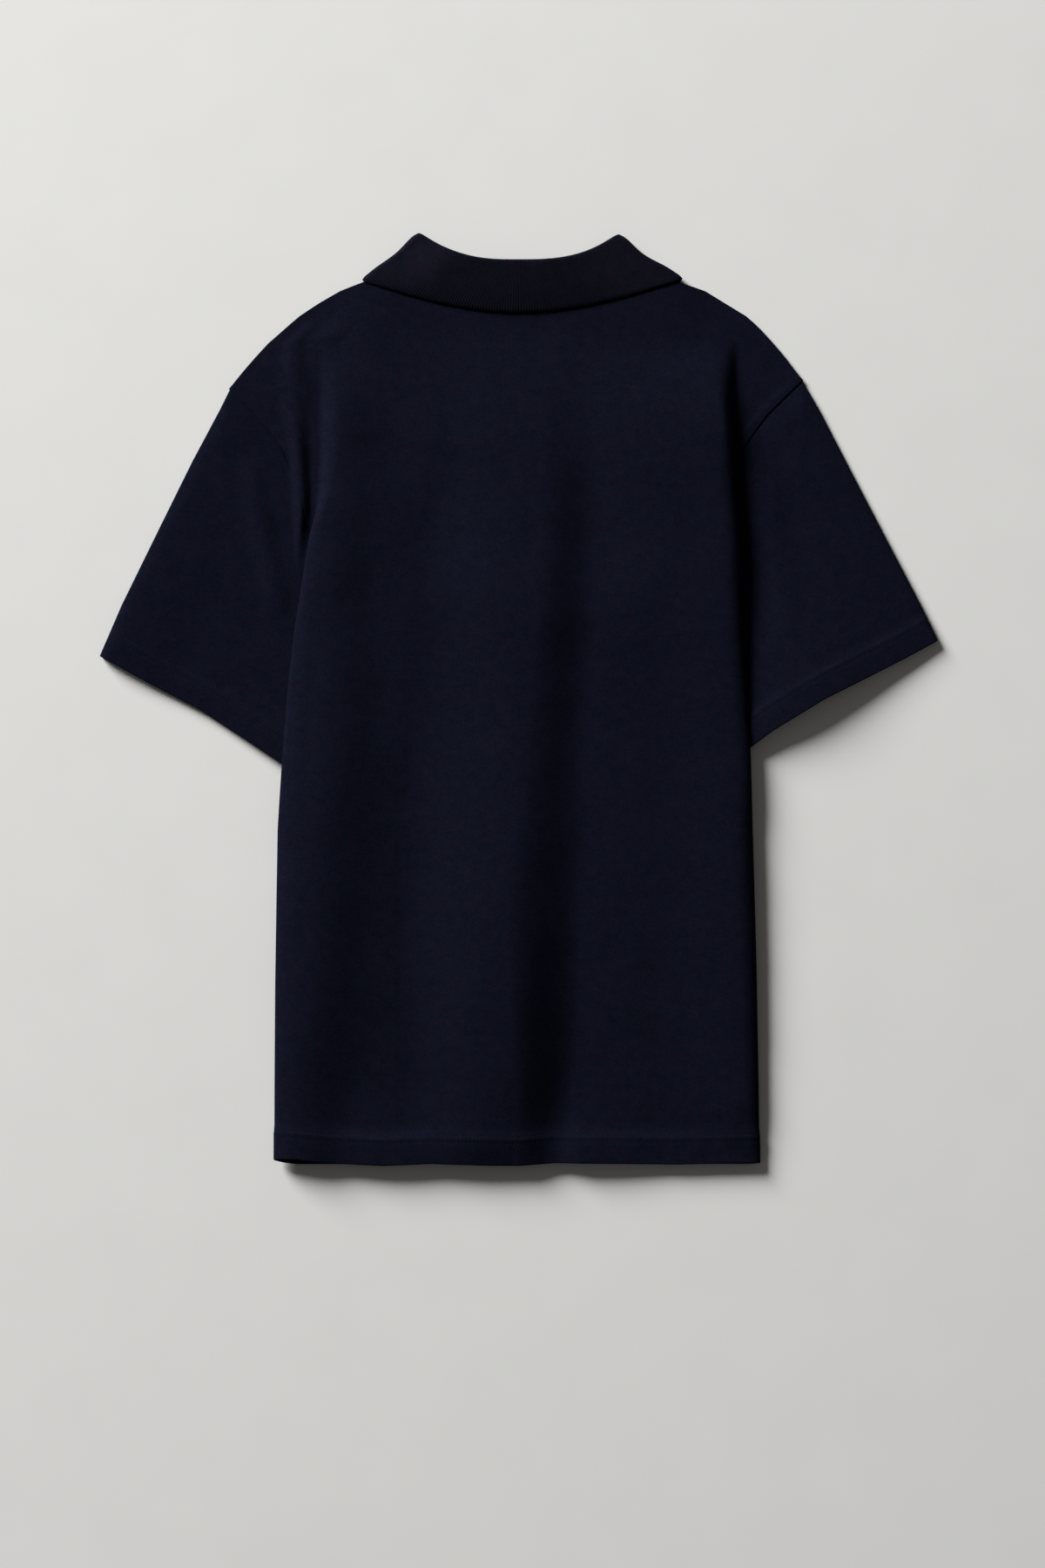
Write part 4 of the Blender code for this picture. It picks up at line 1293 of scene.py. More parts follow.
@dataclass
class Collar:
    """A rib-knit collar in one piece: stand, fold and leaf, back and front."""

    body: LaidBody
    cloth: float = 1.4
    # Ribs: pitch, height, points for each, and how many run along each part of half the collar.
    rib_pitch: float = 2.4
    rib_steps: int = 4
    rib_height: float = 0.52
    ribs: tuple[tuple[str, int], ...] = (("back", 57), ("crease", 5), ("front", 52))
    # How much of the ribs' height shows on the stand, the leaf, its edge and the inner face;
    # sink takes about half of it off again.
    plain_relief: float = 0.7
    leaf_relief: float = 0.62
    leaf_dip: float = 0.25
    edge_relief: float = 0.38
    edge_relief_rise: Pair = (0.8, 0.95)
    inner_relief: float = 0.4
    sink: float = 0.12
    # Neck seam.
    back_drop: float = 27.0
    front_drop: float = 89.8
    seam_x: float = 83.4
    front_seam_x: float = 7.0
    seam_rise: float = 0.2
    seam_ease: float = 0.3
    seam_outward: Pair = (1.0, 0.15)
    stand_clear: Pair = (0.1, 0.05)
    # Fold line: its low point and curve at the back, its pull and end at the front.
    fold_radius: float = 1.3
    fold_low: float = 349.2
    fold_power: float = 2.75
    fold_pull: Pair = (62.0, 302.0)
    front_fold: Pair = (9.0, 283.0)
    fold_outward: Pair = (0.8, 0.6)
    # Edge of the leaf: the same, down to the collar's point.
    edge_low: float = 308.3
    edge_power: float = 1.85
    point_pull: Pair = (100.0, 281.0)
    point: Pair = (60.0, 232.0)
    edge_drop: float = 0.75
    edge_gap: float = 0.08
    edge_taper: float = 0.3
    taper_start: float = 0.5
    leaf_clear: float = 0.25
    # Rise of the back fold above the panel.
    back_rise: float = 6.2
    rise_fade: dict[Side, Pair] = field(
        default_factory=lambda: {Side.LEFT: (0.6, 1.0), Side.RIGHT: (0.25, 0.95)}
    )
    fold_share: float = 0.7
    # Points of the mesh across the stand, the fold and the leaf.
    stand_rows: int = 6
    fold_rows: int = 8
    leaf_rows: int = 18
    # Horns where the fold turns at the sides, and the dip of the side down to the corner.
    horn_round: float = 1.7
    horn_reach: float = 4.5
    horn_slope: float = 0.62
    side_dip: dict[Side, float] = field(default_factory=lambda: {Side.LEFT: 2.2, Side.RIGHT: 3.4})
    dip_middle: float = 0.42
    horn: dict[Side, Pair] = field(
        default_factory=lambda: {Side.LEFT: (82.3, 374.1), Side.RIGHT: (81.7, 373.0)}
    )
    corner: dict[Side, Pair] = field(
        default_factory=lambda: {Side.LEFT: (126.3, 336.5), Side.RIGHT: (131.6, 337.6)}
    )

    def lines(self, side: Side) -> tuple[CollarLine, ...]:
        """The four lines that shape half the collar.

        Args:
            side: Side of the shirt.

        Returns:
            Seam, top of the stand, top of the leaf and edge of the leaf.
        """
        horn, corner = np.array(self.horn[side]), np.array(self.corner[side])
        wall, half_gap = self.cloth / 2, self.body.layer_gap / 2
        middle = self.body.rest + self.body.collar_lift
        above, under = self.stand_clear
        leaf_front = wall + self.leaf_clear
        stand_front = leaf_front + 2 * self.fold_radius
        stand_back = middle + half_gap + wall + above
        leaf_back = stand_back + 2 * self.fold_radius
        front_start = math.asin(self.front_seam_x / self.seam_x)

        seam_back = partial(self.neck_seam, 0.0, QUARTER_TURN, self.back_drop - self.seam_ease)
        seam_front = partial(self.neck_seam, QUARTER_TURN, front_start, self.front_drop - self.seam_ease)
        fold_back = partial(rising, horn, self.fold_low, self.fold_power)
        fold_front = partial(bezier, horn, self.fold_pull, self.front_fold)
        edge_back = partial(rising, corner, self.edge_low, self.edge_power)
        edge_front = partial(bezier, corner, self.point_pull, self.point)
        slope = (horn[1] - corner[1], corner[0] - horn[0])
        seam_z = (stand_back, middle - half_gap - wall - under)
        stand_z, leaf_z = (stand_back, stand_front), (leaf_back, leaf_front)
        edge_z = (leaf_back - self.edge_drop, leaf_front)
        return (
            CollarLine(seam_back, seam_front, self.seam_outward, seam_z, wall),
            CollarLine(fold_back, fold_front, self.fold_outward, stand_z, wall + 2 * self.fold_radius),
            CollarLine(fold_back, fold_front, self.fold_outward, leaf_z, wall),
            CollarLine(edge_back, edge_front, slope, edge_z, wall),
        )

    def neck_seam(self, first: float, last: float, drop: float, share: np.ndarray) -> np.ndarray:
        """Points of the neck seam.

        Args:
            first: Angle from the centre line at which the stretch starts.
            last: Angle at which it ends.
            drop: How far the neck dips below its points.
            share: Shares of the stretch.

        Returns:
            Plan of the seam at each share.
        """
        angle = first + (last - first) * share
        top_y = self.body.neck_point_y + self.seam_rise
        return np.stack((self.seam_x * np.sin(angle), top_y - drop * np.cos(angle)), axis=-1)

    def half(self, side: Side) -> np.ndarray:
        """Middle surface of half the collar: columns along it, points across it.

        Args:
            side: Side of the shirt.

        Returns:
            A grid of points.
        """
        lines = self.lines(side)
        flip = np.array((side.value, 1.0, 1.0))
        columns = []
        for part, ribs in self.ribs:
            first = 0 if part == "back" else 1
            share = np.arange(first, ribs * self.rib_steps + 1) / (ribs * self.rib_steps)
            seam, stand, leaf, edge = (line.at(part, share) for line in lines)
            up = np.linspace(0.0, 1.0, self.stand_rows + 1)[None, :, None]
            rise = seam[:, None] + (stand - seam)[:, None] * up
            across = unit(stand - seam)
            turned = HALF_TURN * np.arange(1, self.fold_rows) / self.fold_rows
            half = (leaf - stand)[:, None] / 2 * (1 - np.cos(turned))[None, :, None]
            bulge = across[:, None] * self.fold_radius * np.sin(turned)[None, :, None]
            fold = stand[:, None] + half + bulge
            down = np.linspace(0.0, 1.0, self.leaf_rows + 1)
            fall = leaf[:, None] + (edge - leaf)[:, None] * down[None, :, None]
            if part == "back":
                fade = (1 - smoothstep(share, *self.rise_fade[side]))[:, None]
                rise[:, :, 2] += self.back_rise * fade * smoothstep(up[0, :, 0], 0.0, 1.0)[None, :]
                fold[:, :, 2] += self.back_rise * fade
                slope = (1 - down) ** self.fold_share
                fall[:, :, 2] += self.back_rise * fade * slope[None, :]
                lowered = self.resting(side, edge) - edge[:, 2]
                fall[:, :, 2] += lowered[:, None] * down[None, :] ** 2
            if part == "crease":
                fall[:, :, 2] += lowered[-1] * (1 - share)[:, None] * down[None, :] ** 2
            columns.append(np.concatenate((rise, fold, fall), axis=1))
        grid = np.concatenate(columns)
        return self.rounded_horn(side, grid) * flip

    def resting(self, side: Side, edge: np.ndarray) -> np.ndarray:
        """Height of the leaf's edge where it rests on the back panel.

        Args:
            side: Side of the shirt.
            edge: Points of the edge.

        Returns:
            Height of the middle of the cloth at each point.
        """
        body = self.body
        distance, y = edge[:, 0], edge[:, 1]
        below = body.rest + body.neck_lift(distance, y) + body.soft_height(side.value * distance, y)
        wall = self.cloth / 2 * (1 - self.edge_taper)
        return below + body.layer_gap / 2 + body.cloth + wall + self.edge_gap

    def rounded_horn(self, side: Side, grid: np.ndarray) -> np.ndarray:
        """Round the collar off where its fold line meets its side.

        Args:
            side: Side of the shirt.
            grid: Points of half the collar.

        Returns:
            The points, those beside the horn drawn in.
        """
        horn, corner = np.array(self.horn[side]), np.array(self.corner[side])
        along_fold = unit(np.array((-horn[0], -self.horn_slope * horn[0])))
        along_side = unit(corner - horn)
        base = np.stack((along_fold, along_side), axis=1)
        place = (grid[..., :2] - horn) @ np.linalg.inv(base).T
        near = np.exp(-np.maximum(place.sum(axis=-1), 0.0) / self.horn_reach)
        grid[..., :2] += self.horn_round * near[..., None] * (along_fold + along_side)
        middle = self.dip_middle * float(np.linalg.norm(corner - horn))
        dip = self.side_dip[side] * hump(place[..., 1] - middle, middle)
        beside = np.exp(-np.maximum(place[..., 0], 0.0) / (2 * self.horn_reach))
        grid[..., :2] += (dip * beside)[..., None] * along_fold
        return grid

    def build(self, material: bpy.types.Material) -> bpy.types.Object:
        """Build the collar with its ribs as geometry.

        Args:
            material: Finish of the rib knit.

        Returns:
            The collar, standing for its node.
        """
        left, right = self.half(Side.LEFT), self.half(Side.RIGHT)
        grid = np.concatenate((left[:0:-1], right))
        along, across = np.gradient(grid, axis=0), np.gradient(grid, axis=1)
        normals = unit(np.cross(across, along))
        rib = 0.5 - 0.5 * np.cos(2 * HALF_TURN * np.arange(len(grid)) / self.rib_steps)
        place = np.linspace(0.0, 1.0, self.leaf_rows + 1)
        strength = np.full(grid.shape[1], self.plain_relief)
        leaf = self.leaf_relief - self.leaf_dip * np.sin(HALF_TURN * place)
        strength[-len(place):] = leaf + self.edge_relief * smoothstep(place, *self.edge_relief_rise)
        ribs = self.rib_height * rib[:, None] * strength[None, :]
        from_edge = np.stack([arc_from_end(column) for column in grid])
        count = np.arange(len(grid))
        ends = np.minimum(count, count[::-1]) * self.rib_pitch / self.rib_steps
        thick = rounding(from_edge, self.cloth) * rounding(ends, self.cloth)[:, None]
        wall = self.cloth / 2 * thick
        wall[:, -len(place):] *= 1 - self.edge_taper * smoothstep(place, self.taper_start, 1.0)
        shell = Shell()
        outer = grid + normals * (wall + ribs * thick - self.sink)[:, :, None]
        inner = grid - normals * (wall + ribs * thick * self.inner_relief - self.sink)[:, :, None]
        shell.grid(outer, inner)
        made = shell.make("rib_collar", material)
        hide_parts("collar")
        return made


@dataclass
class Placket:
    """The two strips down the neck opening, with their buttons, under the shirt."""

    body: LaidBody
    width: float = 33.0
    rows: Pair = (112.0, 262.0)
    cloth: float = 1.0
    button_rows: tuple[float, ...] = (244.0, 192.0, 140.0)
    button_radius: float = 5.5
    button_thickness: float = 1.8
    button_profile: tuple[Pair, ...] = (
        (0.0, 0.0), (0.70, 0.0), (0.80, 0.06), (0.93, 0.30), (1.0, 0.52), (0.985, 0.76),
        (0.93, 0.93), (0.86, 1.0), (0.76, 0.97), (0.66, 0.80), (0.58, 0.72), (0.0, 0.70),
    )
    turn_steps: int = 40
    weld: float = 0.001
    smooth_angle: float = 38.0
    edge_steps: tuple[float, ...] = (0.0, 0.1, 0.3, 0.6, 1.4)
    columns: int = 12
    lines: int = 50
    inset: float = 3.0
    groove: float = 0.9
    groove_depth: float = 0.12
    path_points: int = 160
    hole_offset: float = 1.15
    hole_radius: float = 0.75
    hole_level: float = 0.9
    hole_sides: int = 16
    cutter_depth: float = 8.0
    thread_reach: float = 1.7
    thread_level: float = 0.74

    def face(self, x: np.ndarray, y: np.ndarray) -> np.ndarray:
        """Height of the front panel's outer face near the centre line.

        Args:
            x: Places along X.
            y: The same along Y.

        Returns:
            Height at each place.
        """
        lift = np.array([float(self.body.neck_lift(np.array(0.0), float(row))) for row in np.ravel(y)])
        soft = self.body.soft_height(np.ravel(x), np.ravel(y))
        found = self.body.rest + lift + soft - self.body.layer_gap / 2 - self.body.cloth
        return found.reshape(np.shape(y))

    def strip(self, name: str, node: str, below: float, material: bpy.types.Material) -> bpy.types.Object:
        """Build one strip, a little away from the front panel.

        Args:
            name: Name of the piece.
            node: Node that it stands for.
            below: Distance of its nearer face from the panel.
            material: Finish of the cloth.

        Returns:
            The strip.
        """
        half = self.width / 2
        x, y = np.meshgrid(self.steps(-half, half, self.columns), self.steps(*self.rows, self.lines))
        near_x, near_y = half - np.abs(x), np.minimum(y - self.rows[0], self.rows[1] - y)
        thick = rounding(near_x, self.cloth) * rounding(near_y, self.cloth)
        stitched = hump(near_x - self.inset, self.groove) + hump(near_y - self.inset, self.groove)
        middle = self.face(x, y) - below - self.cloth / 2
        low = middle - self.cloth / 2 * thick + self.groove_depth * np.minimum(stitched, 1.0)
        shell = Shell()
        shell.grid(np.stack((x, y, low), axis=-1), np.stack((x, y, middle + self.cloth / 2 * thick), axis=-1))
        made = shell.make(name, material)
        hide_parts(node)
        return made

    def steps(self, low: float, high: float, count: int) -> np.ndarray:
        """Places from low to high, close together at both ends and count of them between."""
        edge = np.array(self.edge_steps)
        inner = np.linspace(low + self.inset, high - self.inset, count)
        return np.concatenate((low + edge, inner, high - edge[::-1]))

    def stitch_paths(self, below: float) -> list[StitchPath]:
        """Trace the edge sewing on the strip's outer face.

        Args:
            below: Distance of the strip's nearer face from the panel.

        Returns:
            Points of each run, with the normals there.
        """
        half = self.width / 2 - self.inset
        low, high = self.rows[0] + self.inset, self.rows[1] - self.inset
        corners = ((-half, high), (-half, low), (half, low), (half, high))
        crossing = ((-half, low + 2 * half), (half, low + 2 * half))
        paths = []
        for line in (corners, crossing):
            plan = polyline_at(np.array(line, float), np.linspace(0.0, 1.0, self.path_points))
            height = self.face(plan[:, 0], plan[:, 1]) - below - self.cloth
            down = np.tile((0.0, 0.0, -1.0), (len(plan), 1))
            paths.append((np.column_stack((plan, height)), down))
        return paths

    def button_face(self, y: float) -> float:
        """Height at which a button at y meets the upper strip."""
        panel = float(self.face(np.array([0.0]), np.array([y]))[0])
        return panel - 3 * self.body.seam_gap - 2 * self.cloth

    def button(self, number: int, y: float, material: bpy.types.Material) -> bpy.types.Object:
        """Turn one four-hole button, its face down.

        Args:
            number: Number of the button, from the neck down.
            y: Its place along Y.
            material: Its finish.

        Returns:
            The button, standing for its node.
        """
        top = self.button_face(y)
        radius, deep = self.button_radius, self.button_thickness
        shaped = bmesh.new()
        verts = [shaped.verts.new((r * radius, 0.0, top - z * deep)) for r, z in self.button_profile]
        edges = [shaped.edges.new(pair) for pair in zip(verts, verts[1:])]
        bmesh.ops.spin(
            shaped, geom=verts + edges, cent=(0, 0, 0), axis=(0, 0, 1), angle=2 * HALF_TURN,
            steps=self.turn_steps,
        )
        bmesh.ops.remove_doubles(shaped, verts=shaped.verts, dist=self.weld)
        bmesh.ops.recalc_face_normals(shaped, faces=shaped.faces)
        mesh = bpy.data.meshes.new(f"button_turned_{number}")
        shaped.to_mesh(mesh)
        shaped.free()
        mesh.transform(scale_and_move(y))
        made = bpy.data.objects.new(f"button_turned_{number}", mesh)
        bpy.context.scene.collection.objects.link(made)
        self.pierce(made, y, top)
        made.data.shade_smooth()
        made.data.set_sharp_from_angle(angle=math.radians(self.smooth_angle))
        made.data.materials.clear()
        made.data.materials.append(material)
        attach(made, "root")
        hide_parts(f"button_{number}")
        return made

    def pierce(self, made: bpy.types.Object, y: float, top: float) -> None:
        """Cut the four thread holes through a button.

        Args:
            made: The button.
            y: Its place along Y.
            top: Height of its upper face.
        """
        cutter_mesh = bpy.data.meshes.new("button_holes")
        cutter = bmesh.new()
        radius, offset = self.hole_radius * MM, self.hole_offset
        for x_side in (-1, 1):
            for y_side in (-1, 1):
                hole = bmesh.ops.create_cone(
                    cutter, cap_ends=True, segments=self.hole_sides, radius1=radius, radius2=radius,
                    depth=self.cutter_depth * MM,
                )
                x, z = x_side * offset * MM, (top - self.hole_level) * MM
                move = Vector((x, (y + y_side * offset) * MM, z))
                bmesh.ops.translate(cutter, verts=hole["verts"], vec=move)
        cutter.to_mesh(cutter_mesh)
        cutter.free()
        tool = bpy.data.objects.new("button_holes", cutter_mesh)
        bpy.context.scene.collection.objects.link(tool)
        cut = made.modifiers.new("holes", "BOOLEAN")
        cut.operation, cut.object, cut.solver = "DIFFERENCE", tool, "EXACT"
        bpy.context.view_layer.update()
        graph = bpy.context.evaluated_depsgraph_get()
        pierced = bpy.data.meshes.new_from_object(made.evaluated_get(graph))
        made.modifiers.clear()
        made.data = pierced
        bpy.data.objects.remove(tool, do_unlink=True)

    def thread_paths(self) -> list[StitchPath]:
        """Trace two short threads across the holes of each button.

        Returns:
            Both ends of each thread, with the normals there.
        """
        paths = []
        for y in self.button_rows:
            low = self.button_face(y) - self.thread_level * self.button_thickness
            for x in (-self.hole_offset, self.hole_offset):
                ends = np.array(((x, y - self.thread_reach, low), (x, y + self.thread_reach, low)))
                paths.append((ends, np.tile((0.0, 0.0, -1.0), (2, 1))))
        return paths


def scale_and_move(y: float) -> Matrix:
    """Matrix that brings millimetres to metres and moves a button to its row."""
    return Matrix.Translation((0.0, y * MM, 0.0)) @ Matrix.Diagonal((MM, MM, MM, 1.0))


def new_material(name: str) -> tuple[bpy.types.Material, bpy.types.NodeTree, bpy.types.Node]:
    """Make a material.

    Args:
        name: Its name.

    Returns:
        It, its nodes and its shader.
    """
    material = bpy.data.materials.new(name)
    material.use_nodes = True
    return material, material.node_tree, material.node_tree.nodes["Principled BSDF"]


def math_node(tree: bpy.types.NodeTree, operation: str, *values: "Socket | float") -> Socket:
    """Add a Math node.

    Args:
        tree: Where to add it.
        operation: What it does.
        values: Socket or number for each of its inputs in turn.

    Returns:
        Its result.
    """
    node = tree.nodes.new("ShaderNodeMath")
    node.operation = operation
    for slot, value in zip(node.inputs, values):
        if isinstance(value, Socket):
            tree.links.new(value, slot)
        else:
            slot.default_value = value
    return node.outputs[0]


@dataclass(frozen=True)
class Grain:
    """A noise in a finish: how many grains to the metre, its detail and its weight in the tone."""

    scale: float
    detail: float
    weight: float = 0.0

    def add(self, tree: bpy.types.NodeTree, place: Socket, output: str = "Fac") -> Socket:
        """Add the noise to a material.

        Args:
            tree: Nodes of the material.
            place: Coordinates to lay it on.
            output: Which result to give.

        Returns:
            The result.
        """
        node = tree.nodes.new("ShaderNodeTexNoise")
        node.inputs["Scale"].default_value = self.scale
        node.inputs["Detail"].default_value = self.detail
        tree.links.new(place, node.inputs["Vector"])
        return node.outputs[output]


def blend_colors(
    tree: bpy.types.NodeTree, share: Socket, low: "Color | Socket", high: "Color | Socket"
) -> Socket:
    """Mix two colours.

    Args:
        tree: Nodes of the material.
        share: How much of the second colour to take.
        low: First colour.
        high: Second colour.

    Returns:
        The mixed colour.
    """
    node = tree.nodes.new("ShaderNodeMix")
    node.data_type = "RGBA"
    tree.links.new(share, node.inputs["Factor"])
    for name, color in (("A", low), ("B", high)):
        if isinstance(color, Socket):
            tree.links.new(color, node.inputs[name])
        else:
            node.inputs[name].default_value = (*color, 1.0)
    return node.outputs["Result"]


def add_bump(
    tree: bpy.types.NodeTree, shader: bpy.types.Node, height: Socket, strength: float, distance: float
) -> None:
    """Give a shader a bump.

    Args:
        tree: Nodes of the material.
        shader: The shader.
        height: Height of the surface.
        strength: How strongly the bump shows.
        distance: Height in metres that one unit stands for.
    """
    bump = tree.nodes.new("ShaderNodeBump")
    bump.inputs["Strength"].default_value = strength
    bump.inputs["Distance"].default_value = distance
    tree.links.new(height, bump.inputs["Height"])
    tree.links.new(bump.outputs[0], shader.inputs["Normal"])


@dataclass(frozen=True)
class KnitFinish:
    """A dyed cotton knit: small raised stitches with painted shade in their grooves, soft nap and a slightly
    uneven dye.
    """

    name: str
    low_color: Color
    high_color: Color
    cell: float
    bump: float
    sheen: float
    roughness: float = 0.85
    specular: float = 0.004
    slant: float = 0.82
    # Weight of the knit's painted shade in the colour: lighter on the raised stitches, darker in the grooves.
    knit_painted_shade: float = 0.16
    middle_tone: float = 0.5
    fibre: Grain = Grain(2600.0, 2.0, 0.8)
    patch: Grain = Grain(130.0, 4.0, 0.9)
    grain: Grain = Grain(620.0, 1.0, 1.1)
    hue: Grain = Grain(150.0, 3.0)
    hue_spread: Pair = (3.0, -1.0)
    hue_shift: Color = (1.22, 0.86, 0.98)
    wander: Grain = Grain(130.0, 2.0)
    wander_reach: float = 2.2
    fibre_relief: float = 0.9
    relief: float = 0.00025
    sheen_roughness: float = 0.45
    sheen_tint: Color = (0.35, 0.38, 0.62)

    def build(self) -> bpy.types.Material:
        """Make the material.

        Returns:
            It, with its knit in the bump and, as painted shade darker in the grooves, in the colour.
        """
        material, tree, shader = new_material(self.name)
        place = tree.nodes.new("ShaderNodeTexCoord").outputs["Object"]
        split = tree.nodes.new("ShaderNodeSeparateXYZ")
        tree.links.new(self.loosened(tree, place), split.inputs[0])
        knit = math_node(tree, "MULTIPLY", self.ribs(tree, split, "ADD"), self.ribs(tree, split, "SUBTRACT"))
        fibre = self.fibre.add(tree, place)
        height = math_node(tree, "ADD", knit, math_node(tree, "MULTIPLY", fibre, self.fibre_relief))
        add_bump(tree, shader, height, self.bump, self.relief)

        # Painted shade: the colour follows the knit's relief, darker in its grooves.
        tone = math_node(tree, "ADD", math_node(tree, "MULTIPLY", knit, self.knit_painted_shade), self.middle_tone)
        patch, grain = self.patch.add(tree, place), self.grain.add(tree, place)
        noises = ((patch, self.patch), (fibre, self.fibre), (grain, self.grain))
        for noise, kind in noises:
            away = math_node(tree, "SUBTRACT", noise, self.middle_tone)
            tone = math_node(tree, "ADD", tone, math_node(tree, "MULTIPLY", away, kind.weight))
        cool = blend_colors(tree, tone, self.low_color, self.high_color)
        warm = blend_colors(tree, tone, self.shifted(self.low_color), self.shifted(self.high_color))
        spread = math_node(tree, "MULTIPLY_ADD", self.hue.add(tree, place), *self.hue_spread)
        spread.node.use_clamp = True
        tree.links.new(blend_colors(tree, spread, cool, warm), shader.inputs["Base Color"])
        shader.inputs["Roughness"].default_value = self.roughness
        shader.inputs["Specular IOR Level"].default_value = self.specular
        shader.inputs["Sheen Weight"].default_value = self.sheen
        shader.inputs["Sheen Roughness"].default_value = self.sheen_roughness
        shader.inputs["Sheen Tint"].default_value = (*self.sheen_tint, 1.0)
        return material

    def ribs(self, tree: bpy.types.NodeTree, split: bpy.types.Node, operation: str) -> Socket:
        """Add the fine ribs of one diagonal of the knit.

        Args:
            tree: Nodes of the material.
            split: Node that gives X and Y.
            operation: ADD for one diagonal, SUBTRACT for the other.

        Returns:
            Height of the ribs.
        """
        slanted = math_node(tree, "MULTIPLY", split.outputs["Y"], self.slant)
        across = math_node(tree, operation, split.outputs["X"], slanted)
        return math_node(tree, "SINE", math_node(tree, "MULTIPLY", across, 2 * HALF_TURN / (self.cell * MM)))

    def shifted(self, color: Color) -> Color:
        """A colour a little nearer to purple, for the uneven dye."""
        red, green, blue = (part * share for part, share in zip(color, self.hue_shift))
        return red, green, blue

    def loosened(self, tree: bpy.types.NodeTree, place: Socket) -> Socket:
        """Shift the knit a little from place to place, as hand-smoothed cloth is never square.

        Args:
            tree: Nodes of the material.
            place: Coordinates before the shift.

        Returns:
            Coordinates after it.
        """
        move = tree.nodes.new("ShaderNodeVectorMath")
        move.operation = "SCALE"
        move.inputs["Scale"].default_value = self.cell * MM * self.wander_reach
        tree.links.new(self.wander.add(tree, place, "Color"), move.inputs[0])
        added = tree.nodes.new("ShaderNodeVectorMath")
        added.operation = "ADD"
        tree.links.new(place, added.inputs[0])
        tree.links.new(move.outputs[0], added.inputs[1])
        return added.outputs[0]


@dataclass(frozen=True)
class PlainFinish:
    """Thread, plastic or floor: a colour with a fine uneven grain."""

    name: str
    low_color: Color
    high_color: Color
    grain: float
    roughness: float
    bump: float = 0.05
    specular: float = 0.3
    detail: float = 3.0
    relief: float = 0.0002

    def build(self) -> bpy.types.Material:
        """Make the material.

        Returns:
            It, with its grain in the colour and in the bump.
        """
        material, tree, shader = new_material(self.name)
        place = tree.nodes.new("ShaderNodeTexCoord").outputs["Object"]
        grain = Grain(1.0 / (self.grain * MM), self.detail).add(tree, place)
        color = blend_colors(tree, grain, self.low_color, self.high_color)
        tree.links.new(color, shader.inputs["Base Color"])
        add_bump(tree, shader, grain, self.bump, self.relief)
        shader.inputs["Roughness"].default_value = self.roughness
        shader.inputs["Specular IOR Level"].default_value = self.specular
        return material


@dataclass(frozen=True)
class Studio:
    """Pale floor, one large soft lamp, weak light from all round, and the camera above."""

    azimuth: float = 43.0
    elevation: float = 22.8
    lamp_distance: float = 9.5
    lamp_size: float = 4.3
    lamp_power: float = 2330.0
    surround: float = 0.105
    lens: float = 85.0
    frame_height: float = 1.26
    centre: Pair = (0.0028, -0.0686)
    floor_reach: float = 9.0
    lamp_color: Color = (1.0, 0.995, 0.98)
    surround_color: Color = (1.0, 0.97, 0.94)
    sensor_width: float = 24.0
    sensor_height: float = 36.0
    farthest: float = 60.0

    def build(self, floor: bpy.types.Material) -> None:
        """Set up the floor, the lamp, the surround and the camera.

        Args:
            floor: Finish of the floor.
        """
        self.lay_floor(floor)
        self.hang_lamp()
        self.light_surround()
        self.aim_camera()

    def lay_floor(self, material: bpy.types.Material) -> None:
        """Lay the floor under the shirt.

        Args:
            material: Its finish.
        """
        mesh = bpy.data.meshes.new("floor")
        signs = ((-1, -1), (1, -1), (1, 1), (-1, 1))
        corners = [(x * self.floor_reach, y * self.floor_reach, 0) for x, y in signs]
        mesh.from_pydata(corners, [], [(0, 1, 2, 3)])
        mesh.materials.append(material)
        plane = bpy.data.objects.new("floor", mesh)
        bpy.context.scene.collection.objects.link(plane)

    def hang_lamp(self) -> None:
        """Hang the lamp beyond the shirt's upper left."""
        turned, raised = math.radians(self.azimuth), math.radians(self.elevation)
        towards = Vector(
            (-math.sin(turned) * math.cos(raised), math.cos(turned) * math.cos(raised), math.sin(raised))
        )
        data = bpy.data.lights.new("key_lamp", "AREA")
        data.shape, data.size, data.energy = "DISK", self.lamp_size, self.lamp_power
        data.color = self.lamp_color
        lamp = bpy.data.objects.new("key_lamp", data)
        lamp.location = towards * self.lamp_distance
        lamp.rotation_euler = towards.to_track_quat("Z", "Y").to_euler()
        bpy.context.scene.collection.objects.link(lamp)

    def light_surround(self) -> None:
        """Light the scene weakly from all round."""
        scene = bpy.context.scene
        world = bpy.data.worlds.new("surround")
        world.use_nodes = True
        back = world.node_tree.nodes["Background"]
        back.inputs["Color"].default_value = (*self.surround_color, 1.0)
        back.inputs["Strength"].default_value = self.surround
        scene.world = world
        scene.view_settings.view_transform = "Standard"

    def aim_camera(self) -> None:
        """Put the camera straight above the shirt."""
        scene = bpy.context.scene
        view = bpy.data.cameras.new("camera")
        view.lens, view.sensor_fit = self.lens, "VERTICAL"
        view.sensor_height, view.sensor_width = self.sensor_height, self.sensor_width
        view.clip_end = self.farthest
        camera = bpy.data.objects.new("camera", view)
        camera.location = (*self.centre, self.frame_height * self.lens / self.sensor_height)
        scene.collection.objects.link(camera)
        scene.camera = camera


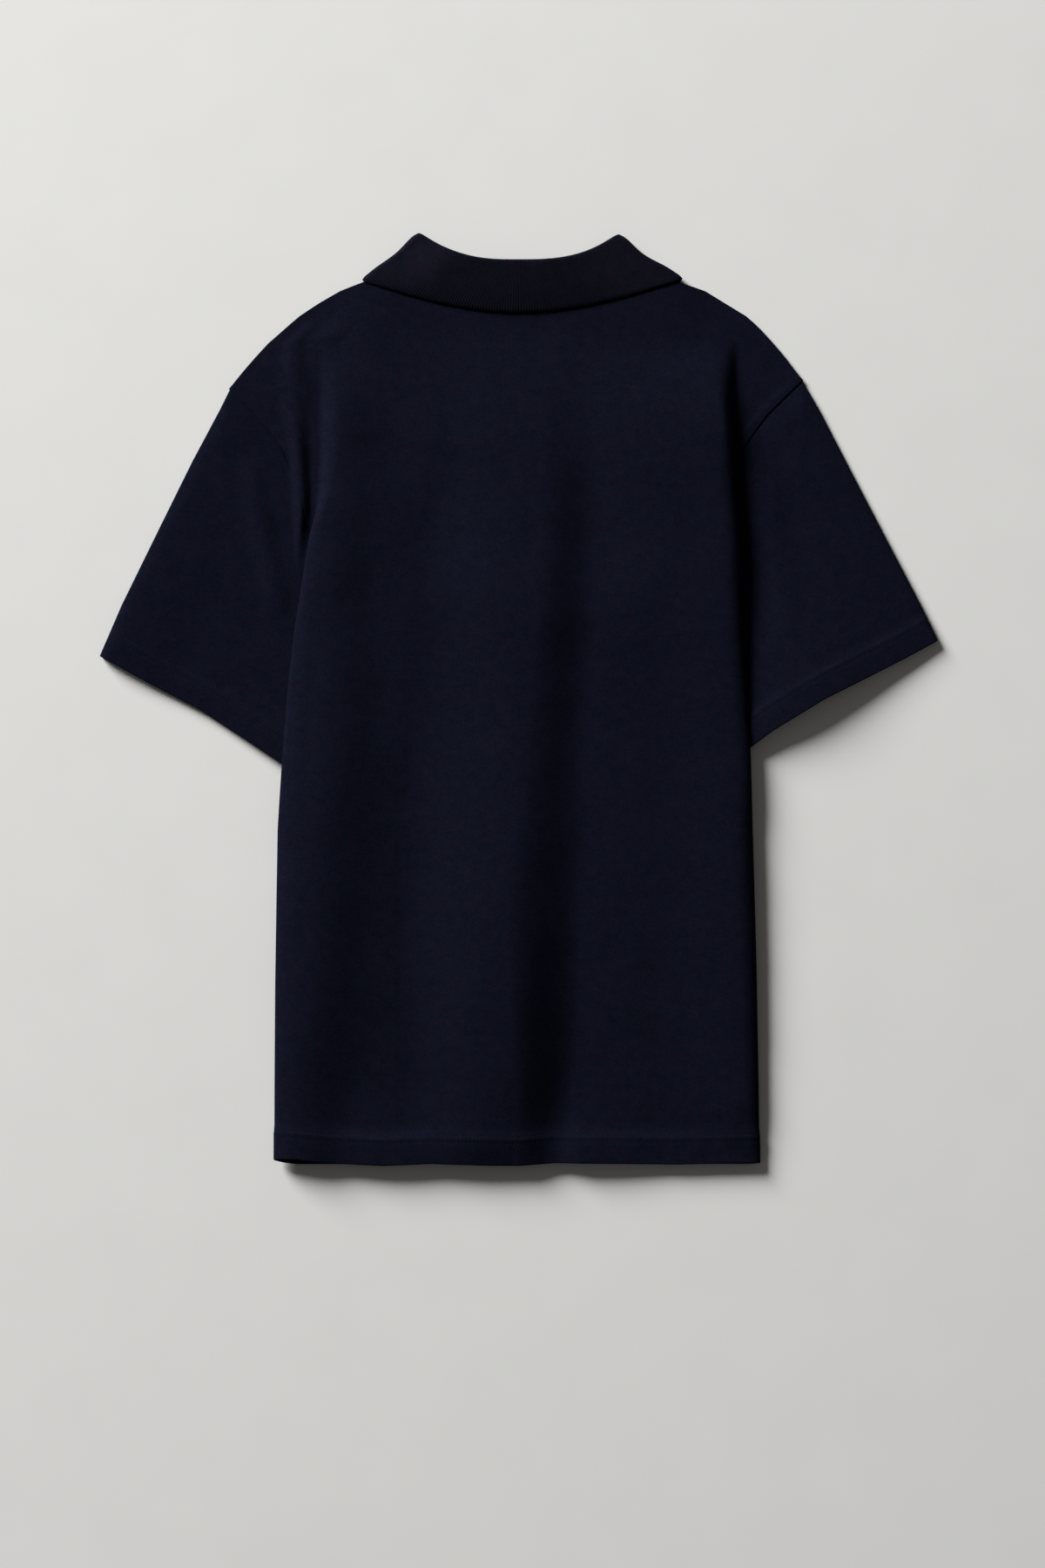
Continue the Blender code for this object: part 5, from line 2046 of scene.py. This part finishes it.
NAVY_PIQUE = KnitFinish("navy_pique", (0.0026, 0.0037, 0.0078), (0.0054, 0.0071, 0.0143), 1.35, 0.18, 0.010)
NAVY_RIB = KnitFinish("navy_rib_knit", (0.0033, 0.0040, 0.0074), (0.0061, 0.0073, 0.0128), 0.9, 0.15, 0.012)
NAVY_THREAD = PlainFinish(
    "navy_thread", (0.0048, 0.0060, 0.0115), (0.0080, 0.0098, 0.0175), 0.25, 0.8, 0.05, 0.02
)
NAVY_BUTTON = PlainFinish("navy_button", (0.008, 0.009, 0.015), (0.014, 0.015, 0.024), 2.0, 0.32, 0.02, 0.5)
PALE_FLOOR = PlainFinish("pale_floor", (0.60, 0.60, 0.595), (0.63, 0.63, 0.625), 60.0, 0.9, 0.02, 0.2)


def main() -> None:
    """Build the shirt piece by piece, then the studio."""
    logging.basicConfig(level=logging.INFO, format="%(message)s")
    pique, rib = NAVY_PIQUE.build(), NAVY_RIB.build()
    thread, plastic = NAVY_THREAD.build(), NAVY_BUTTON.build()
    body = LaidBody()

    back = BodyPanel(Panel.BACK, body, neck_drop=27.0)
    front = BodyPanel(Panel.FRONT, body, neck_drop=89.8)
    for panel in (back, front):
        cloth = panel.build(pique)
        name = f"{panel.panel.name.lower()}_hem_stitches"
        stitches = sew(name, panel.stitch_paths, panel.sewing, thread)
        log.info("%s: %d faces", cloth.name, len(cloth.data.polygons))

    mouths = {
        Side.LEFT: Table("share lift", (0, 2.4), (0.12, 3.2), (0.35, 1.2), (0.6, 1.0), (0.8, 1.8), (1, 3.0)),
        Side.RIGHT: Table(
            "share lift", (0, 1.2), (0.08, 2.4), (0.25, 4.8), (0.45, 9.6), (0.6, 11.2), (0.75, 9.4),
            (0.9, 5.4), (1, 4.0),
        ),
    }
    for side, mouth in mouths.items():
        sleeve = Sleeve(side, body, mouth=mouth)
        cloth = sleeve.build(pique)
        stitches = sew(f"cuff_stitches_{side.name.lower()}", sleeve.stitch_paths, sleeve.sewing, thread)
        log.info("%s: %d faces", cloth.name, len(cloth.data.polygons))

    collar = Collar(body).build(rib)
    log.info("%s: %d faces", collar.name, len(collar.data.polygons))

    placket = Placket(body)
    under = placket.strip("placket_strip_under", "placket_under", body.seam_gap, pique)
    below = 2 * body.seam_gap + placket.cloth
    over = placket.strip("placket_strip_over", "placket_over", below, pique)
    edging = sew("placket_stitches", placket.stitch_paths(below), TwinStitch(width=0.5), thread)
    for number, y in enumerate(placket.button_rows, 1):
        placket.button(number, y, plastic)
    short_stitch = TwinStitch(pitch=3.4, stitch=3.2, width=0.6)
    threads = sew("button_threads", placket.thread_paths(), short_stitch, thread)

    Studio().build(PALE_FLOOR.build())


if __name__ == "__main__":
    main()
